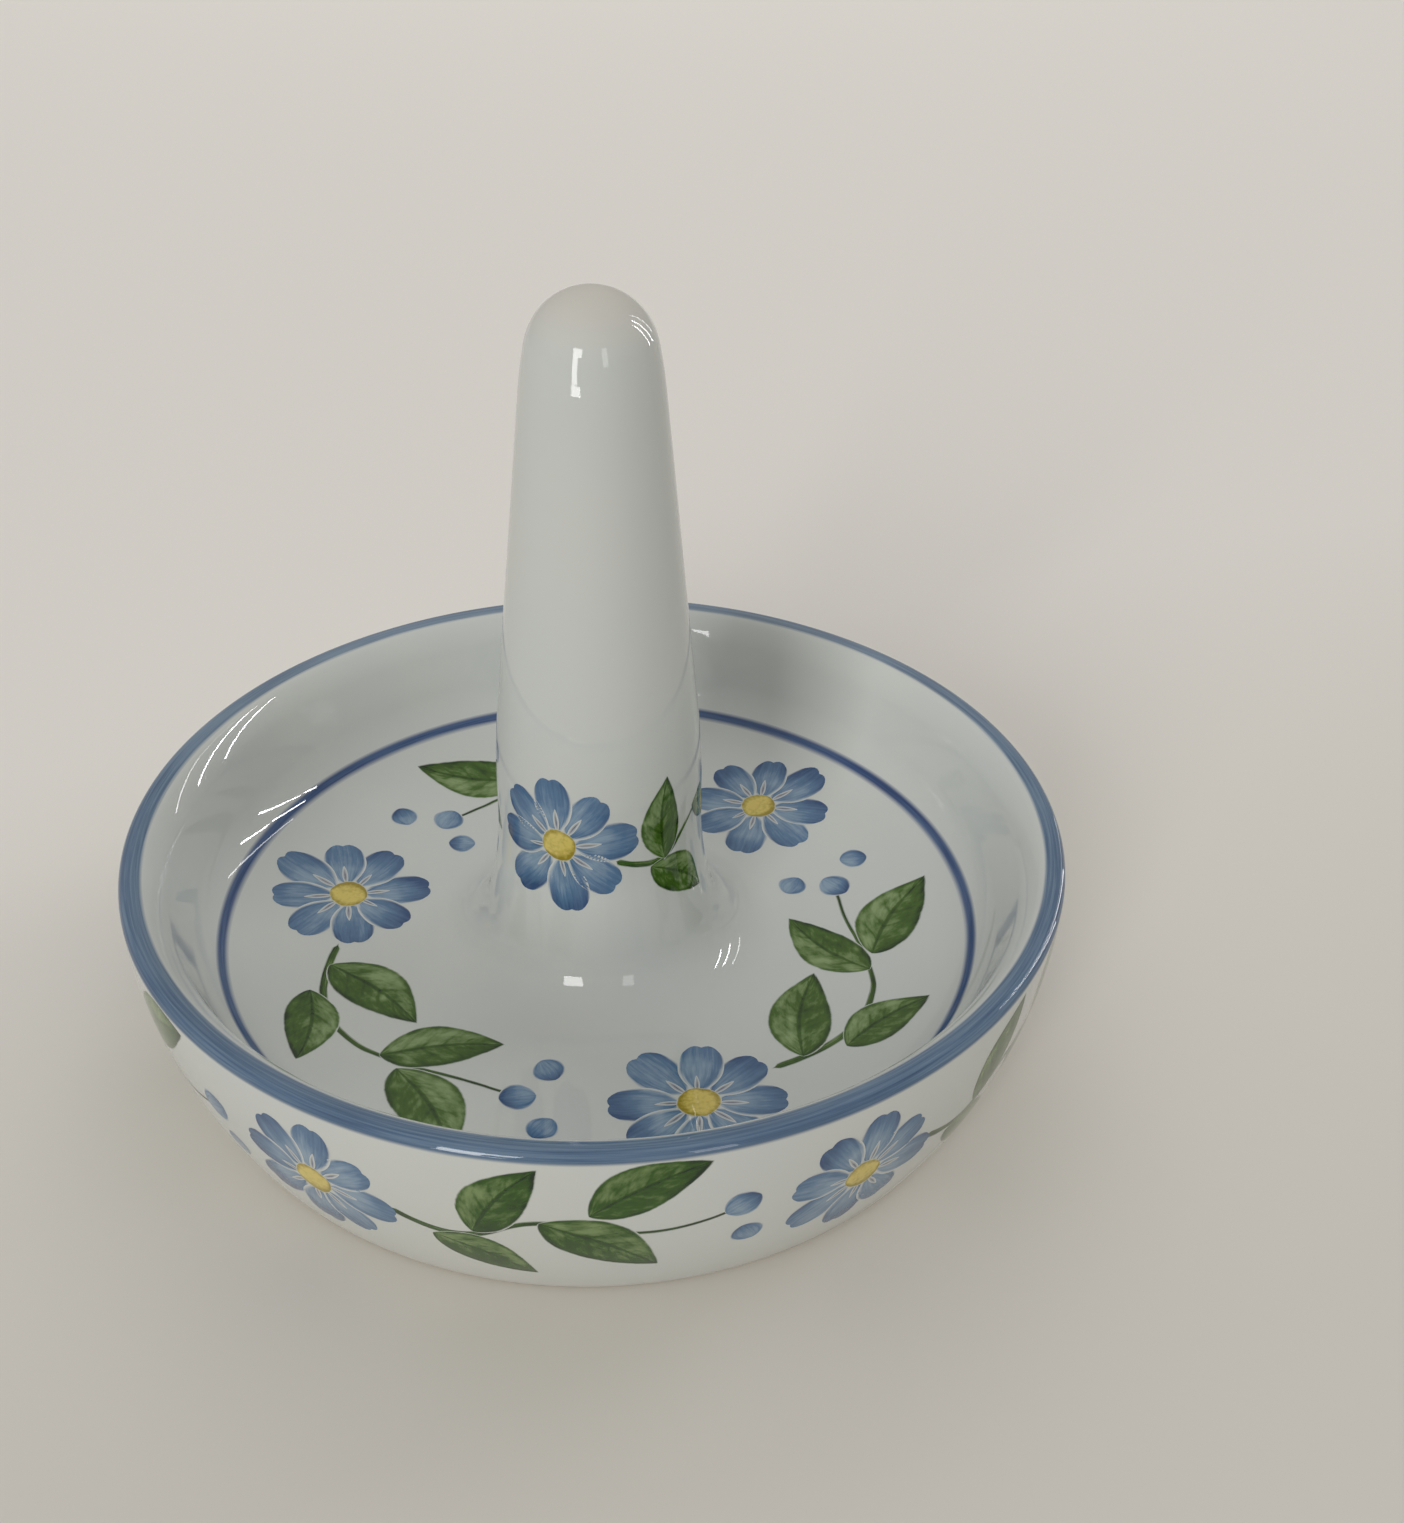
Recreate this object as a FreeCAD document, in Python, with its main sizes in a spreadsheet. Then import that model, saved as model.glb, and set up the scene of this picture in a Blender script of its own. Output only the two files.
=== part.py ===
import FreeCAD, Part
import math
import os
import Sketcher

# A porcelain ring dish: a round dish on a foot ring, with a hollow post in the middle for finger rings.
# Millimetres, +Z up. The origin is the centre of the foot ring, on the table.

doc = FreeCAD.newDocument("RingDish")
sheet = doc.addObject("Spreadsheet::Sheet", "Sizes")

sizes = {
    # dish: wall, lip and floor
    "rim_diameter": 88.0,
    "rim_height": 20.4,
    "lip_edge_radius": 0.8,
    "lip_roll_radius": 2.65,
    "wall_lean_degrees": 17.7,
    "floor_height": 5.8,
    "floor_margin": 0.15,
    "floor_rise": 1.4,
    "cove_radius": 8.3,
    # dish: foot ring under the wall, which spreads from the foot to the rim
    "wall_spread": 4.7,
    "foot_width": 3.2,
    "foot_depth": 2.4,
    "foot_draft": 0.9,
    "foot_round": 0.7,
    # dish: seat of the post and the vent under it
    "seat_depth": 1.6,
    "vent_diameter": 5.0,
    # post
    "post_height": 70.1,
    "barrel_diameter": 19.3,
    "tip_radius": 5.57,
    "shoulder_radius": 38.0,
    "shoulder_sweep_degrees": 6.0,
    "knee_height": 27.5,
    "knee_radius": 80.0,
    "flare_width": 5.1,
    "flare_height": 15.5,
    "flare_sweep_radius": 45.0,
    "flare_fillet_radius": 7.0,
    "flare_edge": 0.7,
    "post_wall": 3.0,
    "spigot_length": 1.4,
    # slip that seals the seam round the post
    "bead_width": 3.0,
    "bead_feather": 0.12,
    # fits
    "spigot_clearance": 0.15,
    "seam_gap": 0.1,
    "cut_overrun": 1.0,
}

for row, (alias, value) in enumerate(sizes.items(), start=1):
    sheet.set(f"A{row}", alias)
    sheet.set(f"B{row}", str(value))
    sheet.setAlias(f"B{row}", alias)
doc.recompute()

# how a sketch numbers the ends and centre of an edge, and its two axes
START, END, CENTRE = range(1, 4)
X_AXIS, Z_AXIS = range(-1, -3, -1)


def crossing(centre, radius, other, other_radius):
    """Where two circles cross, on the left of the line from the first centre to the other."""
    gap = other - centre
    along = (gap.Length ** 2 + radius ** 2 - other_radius ** 2) / (2 * gap.Length)
    ahead = gap / gap.Length
    return centre + ahead * along + FreeCAD.Vector(-ahead.y, ahead.x, 0) * math.sqrt(radius ** 2 - along ** 2)


def new_body(label):
    body = doc.addObject("PartDesign::Body", label)
    body.Label = label
    body.Placement = FreeCAD.Placement()
    return body


def section_sketch(body, name):
    """A sketch on the body's XZ plane: its x is the radius and its y is the height."""
    plane = next(item for item in body.Origin.OriginFeatures if item.Role == "XZ_Plane")
    sketch = body.newObject("Sketcher::SketchObject", name)
    sketch.AttachmentSupport = (plane, [""])
    sketch.MapMode = "FlatFace"
    return sketch


def point(radius, height):
    return FreeCAD.Vector(radius, height, 0)


def line(sketch, start, end):
    return sketch.addGeometry(Part.LineSegment(start, end), False)


def arc(sketch, centre, start, end):
    """An arc that runs counterclockwise round its centre."""
    radius = (start - centre).Length
    angles = [math.atan2(spot.y - centre.y, spot.x - centre.x) for spot in (start, end)]
    circle = Part.Circle(centre, FreeCAD.Vector(0, 0, 1), radius)
    return sketch.addGeometry(Part.ArcOfCircle(circle, *angles), False)


def tie(sketch, kind, *where):
    sketch.addConstraint(Sketcher.Constraint(kind, *where))


def drive(sketch, name, expression, kind, *where):
    """Adds a dimension to the sketch and binds it to the sheet."""
    index = sketch.addConstraint(Sketcher.Constraint(kind, *where))
    sketch.renameConstraint(index, name)
    sketch.setExpression(f"Constraints.{name}", expression)


def radius_at(sketch, name, expression, value, geometry, end):
    drive(sketch, name, expression, "DistanceX", X_AXIS, START, geometry, end, value)


def height_at(sketch, name, expression, value, geometry, end):
    drive(sketch, name, expression, "DistanceY", X_AXIS, START, geometry, end, value)


def chain(sketch, *corners):
    """Joins ends of neighbouring edges: each corner is two (edge, end) pairs."""
    for one, other in corners:
        tie(sketch, "Coincident", *one, *other)


def turn(body, kind, name, sketch):
    """A full turn of the sketch about the Z axis."""
    feature = body.newObject(kind, name)
    feature.Profile = sketch
    feature.ReferenceAxis = (sketch, ["V_Axis"])
    feature.Angle = 360
    sketch.Visibility = False
    doc.recompute()
    return feature


# Dish

rim_radius = sizes["rim_diameter"] / 2
lip_height = sizes["rim_height"] - sizes["lip_edge_radius"]
foot_radius = rim_radius - sizes["wall_spread"]
barrel_radius = sizes["barrel_diameter"] / 2
seat_radius = barrel_radius + sizes["spigot_clearance"]
vent_radius = sizes["vent_diameter"] / 2
seat_height = sizes["floor_height"] - sizes["seat_depth"]
skirt_radius = barrel_radius + sizes["flare_width"]
bead_bore = skirt_radius + sizes["seam_gap"]
bead_rim = bead_bore + sizes["bead_width"]
near_share = 1e-6


def dish_section(body):
    sketch = section_sketch(body, "DishSection")
    recess_rim = foot_radius - sizes["foot_width"]
    belly_radius = (sizes["wall_spread"] ** 2 + lip_height ** 2) / (2 * sizes["wall_spread"])

    # the lip has a tight outer edge and a broad inner roll, which meet at its crest
    crest = point(rim_radius - sizes["lip_edge_radius"], sizes["rim_height"])
    lip_centre = point(crest.x, lip_height)
    roll_centre = point(crest.x, sizes["rim_height"] - sizes["lip_roll_radius"])
    # the inner wall leans back from the cove to the roll and is tangent to both
    lean = math.radians(sizes["wall_lean_degrees"])
    across = point(math.cos(lean), -math.sin(lean))
    wall_top = roll_centre - across * sizes["lip_roll_radius"]
    cove_height = sizes["floor_height"] + sizes["floor_rise"] + sizes["cove_radius"]
    wall_foot_height = cove_height + across.y * sizes["cove_radius"]
    wall_foot = point(wall_top.x - (wall_top.y - wall_foot_height) * math.tan(lean), wall_foot_height)
    cove_centre = wall_foot - across * sizes["cove_radius"]

    recess_edge = point(recess_rim - sizes["foot_draft"], sizes["foot_depth"])
    rim_edge = point(rim_radius, lip_height)
    foot_edge = point(foot_radius, 0)
    # the floor is flat under the post and its slip, then sweeps up into the cove, tangent to both
    floor_edge = point(bead_rim + sizes["floor_margin"], sizes["floor_height"])
    floor_centre = point(0, sizes["floor_height"])
    reach = cove_centre - floor_edge
    sweep_radius = (reach.Length ** 2 - sizes["cove_radius"] ** 2) / (2 * sizes["floor_rise"])
    sweep_centre = floor_edge + point(0, sweep_radius)
    outward = (cove_centre - sweep_centre).normalize()
    cove_start = cove_centre + outward * sizes["cove_radius"]
    recess_centre = point(0, sizes["foot_depth"])

    recess = line(sketch, recess_centre, recess_edge)
    draft = line(sketch, recess_edge, point(recess_rim, 0))
    foot = line(sketch, point(recess_rim, 0), foot_edge)
    belly = arc(sketch, point(rim_radius - belly_radius, lip_height), foot_edge, rim_edge)
    lip = arc(sketch, lip_centre, rim_edge, crest)
    roll = arc(sketch, roll_centre, crest, wall_top)
    wall = line(sketch, wall_foot, wall_top)
    cove = arc(sketch, cove_centre, cove_start, wall_foot)
    sweep = arc(sketch, sweep_centre, floor_edge, cove_start)
    floor = line(sketch, floor_edge, floor_centre)
    axis = line(sketch, floor_centre, recess_centre)

    chain(sketch,
          ((recess, END), (draft, START)), ((draft, END), (foot, START)), ((foot, END), (belly, START)),
          ((belly, END), (lip, START)), ((floor, END), (axis, START)), ((axis, END), (recess, START)))
    for edge in (recess, foot, floor):
        tie(sketch, "Horizontal", edge)
    tie(sketch, "PointOnObject", recess, START, Z_AXIS)
    tie(sketch, "PointOnObject", floor, END, Z_AXIS)
    tie(sketch, "PointOnObject", foot, END, X_AXIS)
    # the belly and the lip are upright where they meet, at the widest part of the rim
    tie(sketch, "Horizontal", belly, CENTRE, lip, START)
    tie(sketch, "Horizontal", lip, CENTRE, lip, START)
    tie(sketch, "Vertical", lip, CENTRE, lip, END)
    tie(sketch, "Tangent", lip, END, roll, START)
    tie(sketch, "Tangent", roll, END, wall, END)
    tie(sketch, "Tangent", wall, START, cove, END)
    tie(sketch, "Tangent", cove, START, sweep, END)
    tie(sketch, "Tangent", sweep, START, floor, START)

    radius_at(sketch, "rim", "Sizes.rim_diameter / 2", rim_radius, lip, START)
    height_at(sketch, "crest", "Sizes.rim_height", sizes["rim_height"], lip, END)
    drive(sketch, "lip_edge", "Sizes.lip_edge_radius", "Radius", lip, sizes["lip_edge_radius"])
    drive(sketch, "lip_roll", "Sizes.lip_roll_radius", "Radius", roll, sizes["lip_roll_radius"])
    drive(sketch, "cove", "Sizes.cove_radius", "Radius", cove, sizes["cove_radius"])
    drive(sketch, "lean", "(90 - Sizes.wall_lean_degrees) * 1 deg", "Angle", wall, math.pi / 2 - lean)
    height_at(sketch, "cove_centre", "Sizes.floor_height + Sizes.floor_rise + Sizes.cove_radius", cove_height,
              cove, CENTRE)
    height_at(sketch, "floor", "Sizes.floor_height", sizes["floor_height"], floor, END)
    bead_reach = "Sizes.barrel_diameter / 2 + Sizes.flare_width + Sizes.seam_gap + Sizes.bead_width"
    radius_at(sketch, "floor_flat", f"{bead_reach} + Sizes.floor_margin", floor_edge.x, floor, START)
    radius_at(sketch, "foot", "Sizes.rim_diameter / 2 - Sizes.wall_spread", foot_radius, foot, END)
    drive(sketch, "foot_width", "Sizes.foot_width", "DistanceX", foot, START, foot, END, sizes["foot_width"])
    drive(sketch, "draft", "Sizes.foot_draft", "DistanceX", draft, START, draft, END, sizes["foot_draft"])
    height_at(sketch, "recess", "Sizes.foot_depth", sizes["foot_depth"], recess, START)
    return sketch


def seat_section(body):
    """A stepped cut: the vent goes right through, the seat of the post is sunk in the floor."""
    sketch = section_sketch(body, "SeatSection")
    below = -sizes["cut_overrun"]
    above = sizes["floor_height"] + sizes["cut_overrun"]
    corners = [point(0, below), point(vent_radius, below), point(vent_radius, seat_height),
               point(seat_radius, seat_height), point(seat_radius, above), point(0, above)]
    edges = [line(sketch, one, other) for one, other in zip(corners, corners[1:] + corners[:1])]
    bottom, vent, step, seat, top, axis = edges
    chain(sketch, *(((one, END), (other, START)) for one, other in zip(edges, edges[1:] + edges[:1])))
    for edge in (bottom, step, top):
        tie(sketch, "Horizontal", edge)
    for edge in (vent, seat):
        tie(sketch, "Vertical", edge)
    tie(sketch, "PointOnObject", axis, START, Z_AXIS)
    tie(sketch, "PointOnObject", axis, END, Z_AXIS)
    radius_at(sketch, "vent", "Sizes.vent_diameter / 2", vent_radius, vent, START)
    radius_at(sketch, "seat", "Sizes.barrel_diameter / 2 + Sizes.spigot_clearance", seat_radius, seat, START)
    height_at(sketch, "step", "Sizes.floor_height - Sizes.seat_depth", seat_height, step, START)
    height_at(sketch, "top", "Sizes.floor_height + Sizes.cut_overrun", above, top, START)
    drive(sketch, "under", "Sizes.cut_overrun", "DistanceY", bottom, START, X_AXIS, START, -below)
    return sketch


def foot_edges(shape):
    """The three round edges of the foot ring, two at the table and one at the top of its recess."""
    recess_rim = foot_radius - sizes["foot_width"]
    rounds = [(foot_radius, 0), (recess_rim, 0), (recess_rim - sizes["foot_draft"], sizes["foot_depth"])]
    near = rim_radius * near_share
    names = []
    for number, edge in enumerate(shape.Edges, start=1):
        curve = edge.Curve
        if not isinstance(curve, Part.Circle):
            continue
        for radius, height in rounds:
            if abs(curve.Radius - radius) < near and abs(curve.Center.z - height) < near:
                names.append(f"Edge{number}")
    return names


dish = new_body("dish")
turned_dish = turn(dish, "PartDesign::Revolution", "TurnedDish", dish_section(dish))
seat_cut = turn(dish, "PartDesign::Groove", "SeatAndVent", seat_section(dish))
if seat_cut.Shape.Volume >= turned_dish.Shape.Volume:
    raise RuntimeError("the seat and the vent cut nothing from the dish")
foot_fillet = dish.newObject("PartDesign::Fillet", "FootRound")
foot_fillet.Base = (seat_cut, foot_edges(seat_cut.Shape))
foot_fillet.setExpression("Radius", "Sizes.foot_round")

# Post

skirt_top = sizes["floor_height"] + sizes["flare_edge"]
flare_top = skirt_top + sizes["flare_height"]
spigot_foot = sizes["floor_height"] - sizes["spigot_length"]
bore_radius = barrel_radius - sizes["post_wall"]
dome_height = sizes["post_height"] - sizes["tip_radius"]


def taper_lean():
    """The angle from upright of the line that leaves the knee and touches the shoulder below the dome."""
    sweep = math.radians(sizes["shoulder_sweep_degrees"])
    inset = sizes["shoulder_radius"] - sizes["tip_radius"]
    offset = sizes["shoulder_radius"] - inset * math.cos(sweep)
    rise = dome_height - sizes["knee_height"]
    reach = math.hypot(barrel_radius, rise)
    return math.atan2(barrel_radius, rise) - math.asin(offset / reach)


def post_section(body):
    sketch = section_sketch(body, "PostSection")
    lean = taper_lean()
    shoulder_sweep = math.radians(sizes["shoulder_sweep_degrees"])
    along = FreeCAD.Vector(-math.sin(lean), math.cos(lean), 0)
    across = FreeCAD.Vector(math.cos(lean), math.sin(lean), 0)
    bend = sizes["knee_radius"] * math.tan(lean / 2)
    knee = point(barrel_radius, sizes["knee_height"])
    dome_centre = point(0, dome_height)
    inner_tip = sizes["tip_radius"] - sizes["post_wall"]
    # the shoulder is a slow arc between the taper and the dome
    dome_side = point(math.cos(lean + shoulder_sweep), math.sin(lean + shoulder_sweep))
    shoulder_centre = dome_centre + dome_side * (sizes["tip_radius"] - sizes["shoulder_radius"])

    skirt_foot = point(skirt_radius, sizes["floor_height"])
    skirt_edge = point(skirt_radius, skirt_top)
    barrel_foot = point(barrel_radius, flare_top)
    barrel_top = point(barrel_radius, sizes["knee_height"] - bend)
    taper_foot = knee + along * bend
    taper_top = shoulder_centre + across * sizes["shoulder_radius"]
    dome_foot = dome_centre + dome_side * sizes["tip_radius"]
    tip = point(0, sizes["post_height"])
    inner_top = point(0, sizes["post_height"] - sizes["post_wall"])
    inner_shoulder = dome_centre + across * inner_tip
    inner_run = (bore_radius - inner_shoulder.x) / math.sin(lean)
    inner_knee = inner_shoulder - along * inner_run
    bore_foot = point(bore_radius, spigot_foot)
    spigot_edge = point(barrel_radius, spigot_foot)
    spigot_root = point(barrel_radius, sizes["floor_height"])

    # the flare starts as a slow sweep and ends in a tighter fillet
    sweep_centre = point(barrel_radius + sizes["flare_sweep_radius"], flare_top)
    fillet_centre = crossing(skirt_edge, sizes["flare_fillet_radius"], sweep_centre,
                             sizes["flare_sweep_radius"] - sizes["flare_fillet_radius"])
    inward = (fillet_centre - sweep_centre).normalize()
    flare_waist = fillet_centre + inward * sizes["flare_fillet_radius"]

    edge = line(sketch, skirt_foot, skirt_edge)
    flare = arc(sketch, sweep_centre, barrel_foot, flare_waist)
    fillet = arc(sketch, fillet_centre, flare_waist, skirt_edge)
    barrel = line(sketch, barrel_foot, barrel_top)
    bent = arc(sketch, barrel_top - point(sizes["knee_radius"], 0), barrel_top, taper_foot)
    taper = line(sketch, taper_foot, taper_top)
    shoulder = arc(sketch, shoulder_centre, taper_top, dome_foot)
    dome = arc(sketch, dome_centre, dome_foot, tip)
    crown = line(sketch, tip, inner_top)
    inner_dome = arc(sketch, dome_centre, inner_shoulder, inner_top)
    inner_taper = line(sketch, inner_shoulder, inner_knee)
    bore = line(sketch, inner_knee, bore_foot)
    spigot_face = line(sketch, bore_foot, spigot_edge)
    spigot = line(sketch, spigot_edge, spigot_root)
    seat = line(sketch, spigot_root, skirt_foot)
    corner = sketch.addGeometry(Part.Point(knee), True)

    chain(sketch,
          ((edge, END), (fillet, END)), ((dome, END), (crown, START)), ((crown, END), (inner_dome, END)),
          ((inner_taper, END), (bore, START)), ((bore, END), (spigot_face, START)),
          ((spigot_face, END), (spigot, START)), ((spigot, END), (seat, START)),
          ((seat, END), (edge, START)), ((dome, CENTRE), (inner_dome, CENTRE)))
    for upright in (edge, barrel, bore, spigot):
        tie(sketch, "Vertical", upright)
    for level in (spigot_face, seat):
        tie(sketch, "Horizontal", level)
    tie(sketch, "PointOnObject", dome, CENTRE, Z_AXIS)
    tie(sketch, "PointOnObject", dome, END, Z_AXIS)
    tie(sketch, "PointOnObject", inner_dome, END, Z_AXIS)
    tie(sketch, "Tangent", fillet, START, flare, END)
    tie(sketch, "Tangent", flare, START, barrel, START)
    tie(sketch, "Tangent", barrel, END, bent, START)
    tie(sketch, "Tangent", bent, END, taper, START)
    tie(sketch, "Tangent", taper, END, shoulder, START)
    tie(sketch, "Tangent", shoulder, END, dome, START)
    tie(sketch, "Tangent", inner_dome, START, inner_taper, START)
    tie(sketch, "Parallel", taper, inner_taper)
    tie(sketch, "PointOnObject", corner, START, taper)
    tie(sketch, "PointOnObject", corner, START, barrel)

    radius_at(sketch, "barrel", "Sizes.barrel_diameter / 2", barrel_radius, barrel, START)
    height_at(sketch, "knee", "Sizes.knee_height", sizes["knee_height"], corner, START)
    drive(sketch, "knee_bend", "Sizes.knee_radius", "Radius", bent, sizes["knee_radius"])
    height_at(sketch, "tip", "Sizes.post_height", sizes["post_height"], dome, END)
    drive(sketch, "tip_round", "Sizes.tip_radius", "Radius", dome, sizes["tip_radius"])
    drive(sketch, "shoulder", "Sizes.shoulder_radius", "Radius", shoulder, sizes["shoulder_radius"])
    drive(sketch, "shoulder_sweep", "Sizes.shoulder_sweep_degrees * 1 deg", "Angle", shoulder, shoulder_sweep)
    drive(sketch, "tip_inside", "Sizes.tip_radius - Sizes.post_wall", "Radius", inner_dome, inner_tip)
    radius_at(sketch, "bore", "Sizes.barrel_diameter / 2 - Sizes.post_wall", bore_radius, bore, END)
    height_at(sketch, "seat", "Sizes.floor_height", sizes["floor_height"], seat, START)
    height_at(sketch, "spigot_foot", "Sizes.floor_height - Sizes.spigot_length", spigot_foot, bore, END)
    radius_at(sketch, "spigot", "Sizes.barrel_diameter / 2", barrel_radius, spigot, START)
    drive(sketch, "edge", "Sizes.flare_edge", "DistanceY", edge, START, edge, END, sizes["flare_edge"])
    drive(sketch, "flare_width", "Sizes.flare_width", "DistanceX", flare, START, fillet, END,
          sizes["flare_width"])
    drive(sketch, "flare_height", "Sizes.flare_height", "DistanceY", fillet, END, flare, START,
          sizes["flare_height"])
    drive(sketch, "flare_sweep", "Sizes.flare_sweep_radius", "Radius", flare, sizes["flare_sweep_radius"])
    drive(sketch, "flare_fillet", "Sizes.flare_fillet_radius", "Radius", fillet, sizes["flare_fillet_radius"])
    return sketch


ring_post = new_body("ring_post")
turn(ring_post, "PartDesign::Revolution", "TurnedPost", post_section(ring_post))

# Slip bead round the foot of the post


def bead_section(body):
    """A hollow-sided wedge that runs out thin on the floor."""
    sketch = section_sketch(body, "BeadSection")
    drop = sizes["flare_edge"] - sizes["bead_feather"]
    hollow_radius = (drop ** 2 + sizes["bead_width"] ** 2) / (2 * drop)
    feather_top = point(bead_rim, sizes["floor_height"] + sizes["bead_feather"])
    base = line(sketch, point(bead_bore, sizes["floor_height"]), point(bead_rim, sizes["floor_height"]))
    feather = line(sketch, point(bead_rim, sizes["floor_height"]), feather_top)
    hollow = arc(sketch, feather_top + point(0, hollow_radius), point(bead_bore, skirt_top), feather_top)
    side = line(sketch, point(bead_bore, skirt_top), point(bead_bore, sizes["floor_height"]))
    chain(sketch,
          ((base, END), (feather, START)), ((feather, END), (hollow, END)),
          ((hollow, START), (side, START)), ((side, END), (base, START)))
    tie(sketch, "Horizontal", base)
    tie(sketch, "Vertical", feather)
    tie(sketch, "Vertical", side)
    # the hollow runs out level with the floor
    tie(sketch, "Vertical", hollow, CENTRE, hollow, END)
    radius_at(sketch, "bore", "Sizes.barrel_diameter / 2 + Sizes.flare_width + Sizes.seam_gap", bead_bore,
              base, START)
    drive(sketch, "width", "Sizes.bead_width", "DistanceX", base, START, base, END, sizes["bead_width"])
    height_at(sketch, "floor", "Sizes.floor_height", sizes["floor_height"], base, START)
    drive(sketch, "feather", "Sizes.bead_feather", "DistanceY", feather, START, feather, END,
          sizes["bead_feather"])
    drive(sketch, "side", "Sizes.flare_edge", "DistanceY", side, END, side, START, sizes["flare_edge"])
    return sketch


slip_bead = new_body("slip_bead")
turn(slip_bead, "PartDesign::Revolution", "TurnedBead", bead_section(slip_bead))

# Check and write

doc.recompute()
for item in doc.Objects:
    if "Invalid" in item.State or "Error" in item.State:
        raise RuntimeError(f"{item.Label} did not build: {item.State}")
for sketch in doc.findObjects("Sketcher::SketchObject"):
    if not sketch.FullyConstrained:
        raise RuntimeError(f"{sketch.Label} is not fully constrained")

os.makedirs("parts", exist_ok=True)
for part in (dish, ring_post, slip_bead):
    shape = part.Shape
    if shape.isNull() or not shape.isValid() or len(shape.Solids) != 1:
        raise RuntimeError(f"{part.Label} is not one sound solid")
    box = shape.optimalBoundingBox()
    print(f"{part.Label}: {box.XLength:.2f} x {box.YLength:.2f} x {box.ZLength:.2f} mm, "
          f"z {box.ZMin:.2f} to {box.ZMax:.2f}, {shape.Volume / 1000:.2f} cm3")
    shape.exportStep(f"parts/{part.Label}.step")
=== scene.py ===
import math
import bpy
from mathutils import Matrix, Vector


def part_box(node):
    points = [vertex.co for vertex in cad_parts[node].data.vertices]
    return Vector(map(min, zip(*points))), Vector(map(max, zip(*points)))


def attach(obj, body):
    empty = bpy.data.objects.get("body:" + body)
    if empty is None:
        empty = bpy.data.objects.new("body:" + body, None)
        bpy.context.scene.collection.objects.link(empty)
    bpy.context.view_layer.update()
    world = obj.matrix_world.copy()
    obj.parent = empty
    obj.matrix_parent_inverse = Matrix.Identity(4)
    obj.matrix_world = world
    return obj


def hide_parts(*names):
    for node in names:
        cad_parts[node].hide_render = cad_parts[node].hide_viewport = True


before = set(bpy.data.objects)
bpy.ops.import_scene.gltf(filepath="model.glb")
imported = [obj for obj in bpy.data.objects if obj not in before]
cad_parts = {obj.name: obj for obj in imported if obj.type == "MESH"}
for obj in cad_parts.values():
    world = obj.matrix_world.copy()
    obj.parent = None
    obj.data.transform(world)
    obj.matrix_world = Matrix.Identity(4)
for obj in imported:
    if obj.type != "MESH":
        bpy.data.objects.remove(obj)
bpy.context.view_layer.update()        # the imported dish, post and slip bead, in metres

mm = 0.001
scene = bpy.context.scene
scene.view_settings.view_transform = "Standard"


# Small helpers for node trees

def put(tree, kind, inputs=(), **options):
    node = tree.nodes.new(kind)
    for key, value in options.items():
        setattr(node, key, value)
    pairs = inputs.items() if isinstance(inputs, dict) else enumerate(inputs)
    for key, value in pairs:
        if isinstance(value, bpy.types.NodeSocket):
            tree.links.new(value, node.inputs[key])
        else:
            node.inputs[key].default_value = value
    return node


def feed(tree, kind, inputs=(), **options):
    # a node of which only the first output is wanted
    return put(tree, kind, inputs, **options).outputs[0]


def calc(tree, operation, *values):
    return feed(tree, "ShaderNodeMath", values, operation=operation)


def sums(operation):
    return lambda tree, *values: calc(tree, operation, *values)


plus, less, times, timesPlus = map(sums, ("ADD", "SUBTRACT", "MULTIPLY", "MULTIPLY_ADD"))


def swing(tree, base, value, middle, amount):
    # base, pushed up or down by how far value lies from its middle
    return plus(tree, base, times(tree, less(tree, value, middle), amount))


def vecCalc(tree, operation, *values):
    node = put(tree, "ShaderNodeVectorMath", values, operation=operation)
    return node.outputs["Value" if operation == "DOT_PRODUCT" else 0]


def scaled(tree, vector, factor):
    return feed(tree, "ShaderNodeVectorMath", {0: vector, "Scale": factor}, operation="SCALE")


def joinXyz(tree, *values):
    return feed(tree, "ShaderNodeCombineXYZ", values)


def splitXyz(tree, vector):
    return put(tree, "ShaderNodeSeparateXYZ", [vector]).outputs


def ease(tree, value, low, high, start=0.0, end=1.0):
    inputs = [value, low, high, start, end]
    return feed(tree, "ShaderNodeMapRange", inputs, interpolation_type="SMOOTHSTEP")


def mixColour(tree, factor, first, second):
    inputs = {0: factor, 6: first, 7: second}
    return put(tree, "ShaderNodeMix", inputs, data_type="RGBA").outputs[2]


def noise(tree, vector, scale, detail=2.0, roughness=0.5):
    inputs = {"Vector": vector, "Scale": scale, "Detail": detail, "Roughness": roughness}
    return put(tree, "ShaderNodeTexNoise", inputs).outputs


# Camera: stood where the photograph was taken from

cameraSettings = {
    "distance": 160.6 * mm,  # from the middle of the foot
    "tilt": 41.012,  # degrees above the table
    "turn": -3.852,  # the object sits left of the picture's middle
    "nod": -7.588,  # and below it
    "roll": -1.535,
    "lens": 36.418,  # millimetres on a 36 mm long side
}


def placeCamera():
    s = cameraSettings
    tilt = math.radians(s["tilt"])
    place = Vector((0, -math.cos(tilt), math.sin(tilt))) * s["distance"]
    aim = Matrix.Rotation(math.pi / 2 - tilt, 4, "X")
    aim = aim @ Matrix.Rotation(math.radians(s["turn"]), 4, "Y")
    aim = aim @ Matrix.Rotation(math.radians(-s["nod"]), 4, "X")
    aim = aim @ Matrix.Rotation(math.radians(s["roll"]), 4, "Z")
    lens = bpy.data.cameras.new("photoLens")
    lens.lens = s["lens"]
    lens.clip_start = 1 * mm
    camera = bpy.data.objects.new("photoCamera", lens)
    camera.matrix_world = Matrix.Translation(place) @ aim
    scene.collection.objects.link(camera)
    scene.camera = camera


placeCamera()
print("camera placed")


# Light: a pale ceiling, soft panels, and strips and panes that draw the highlights

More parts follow.
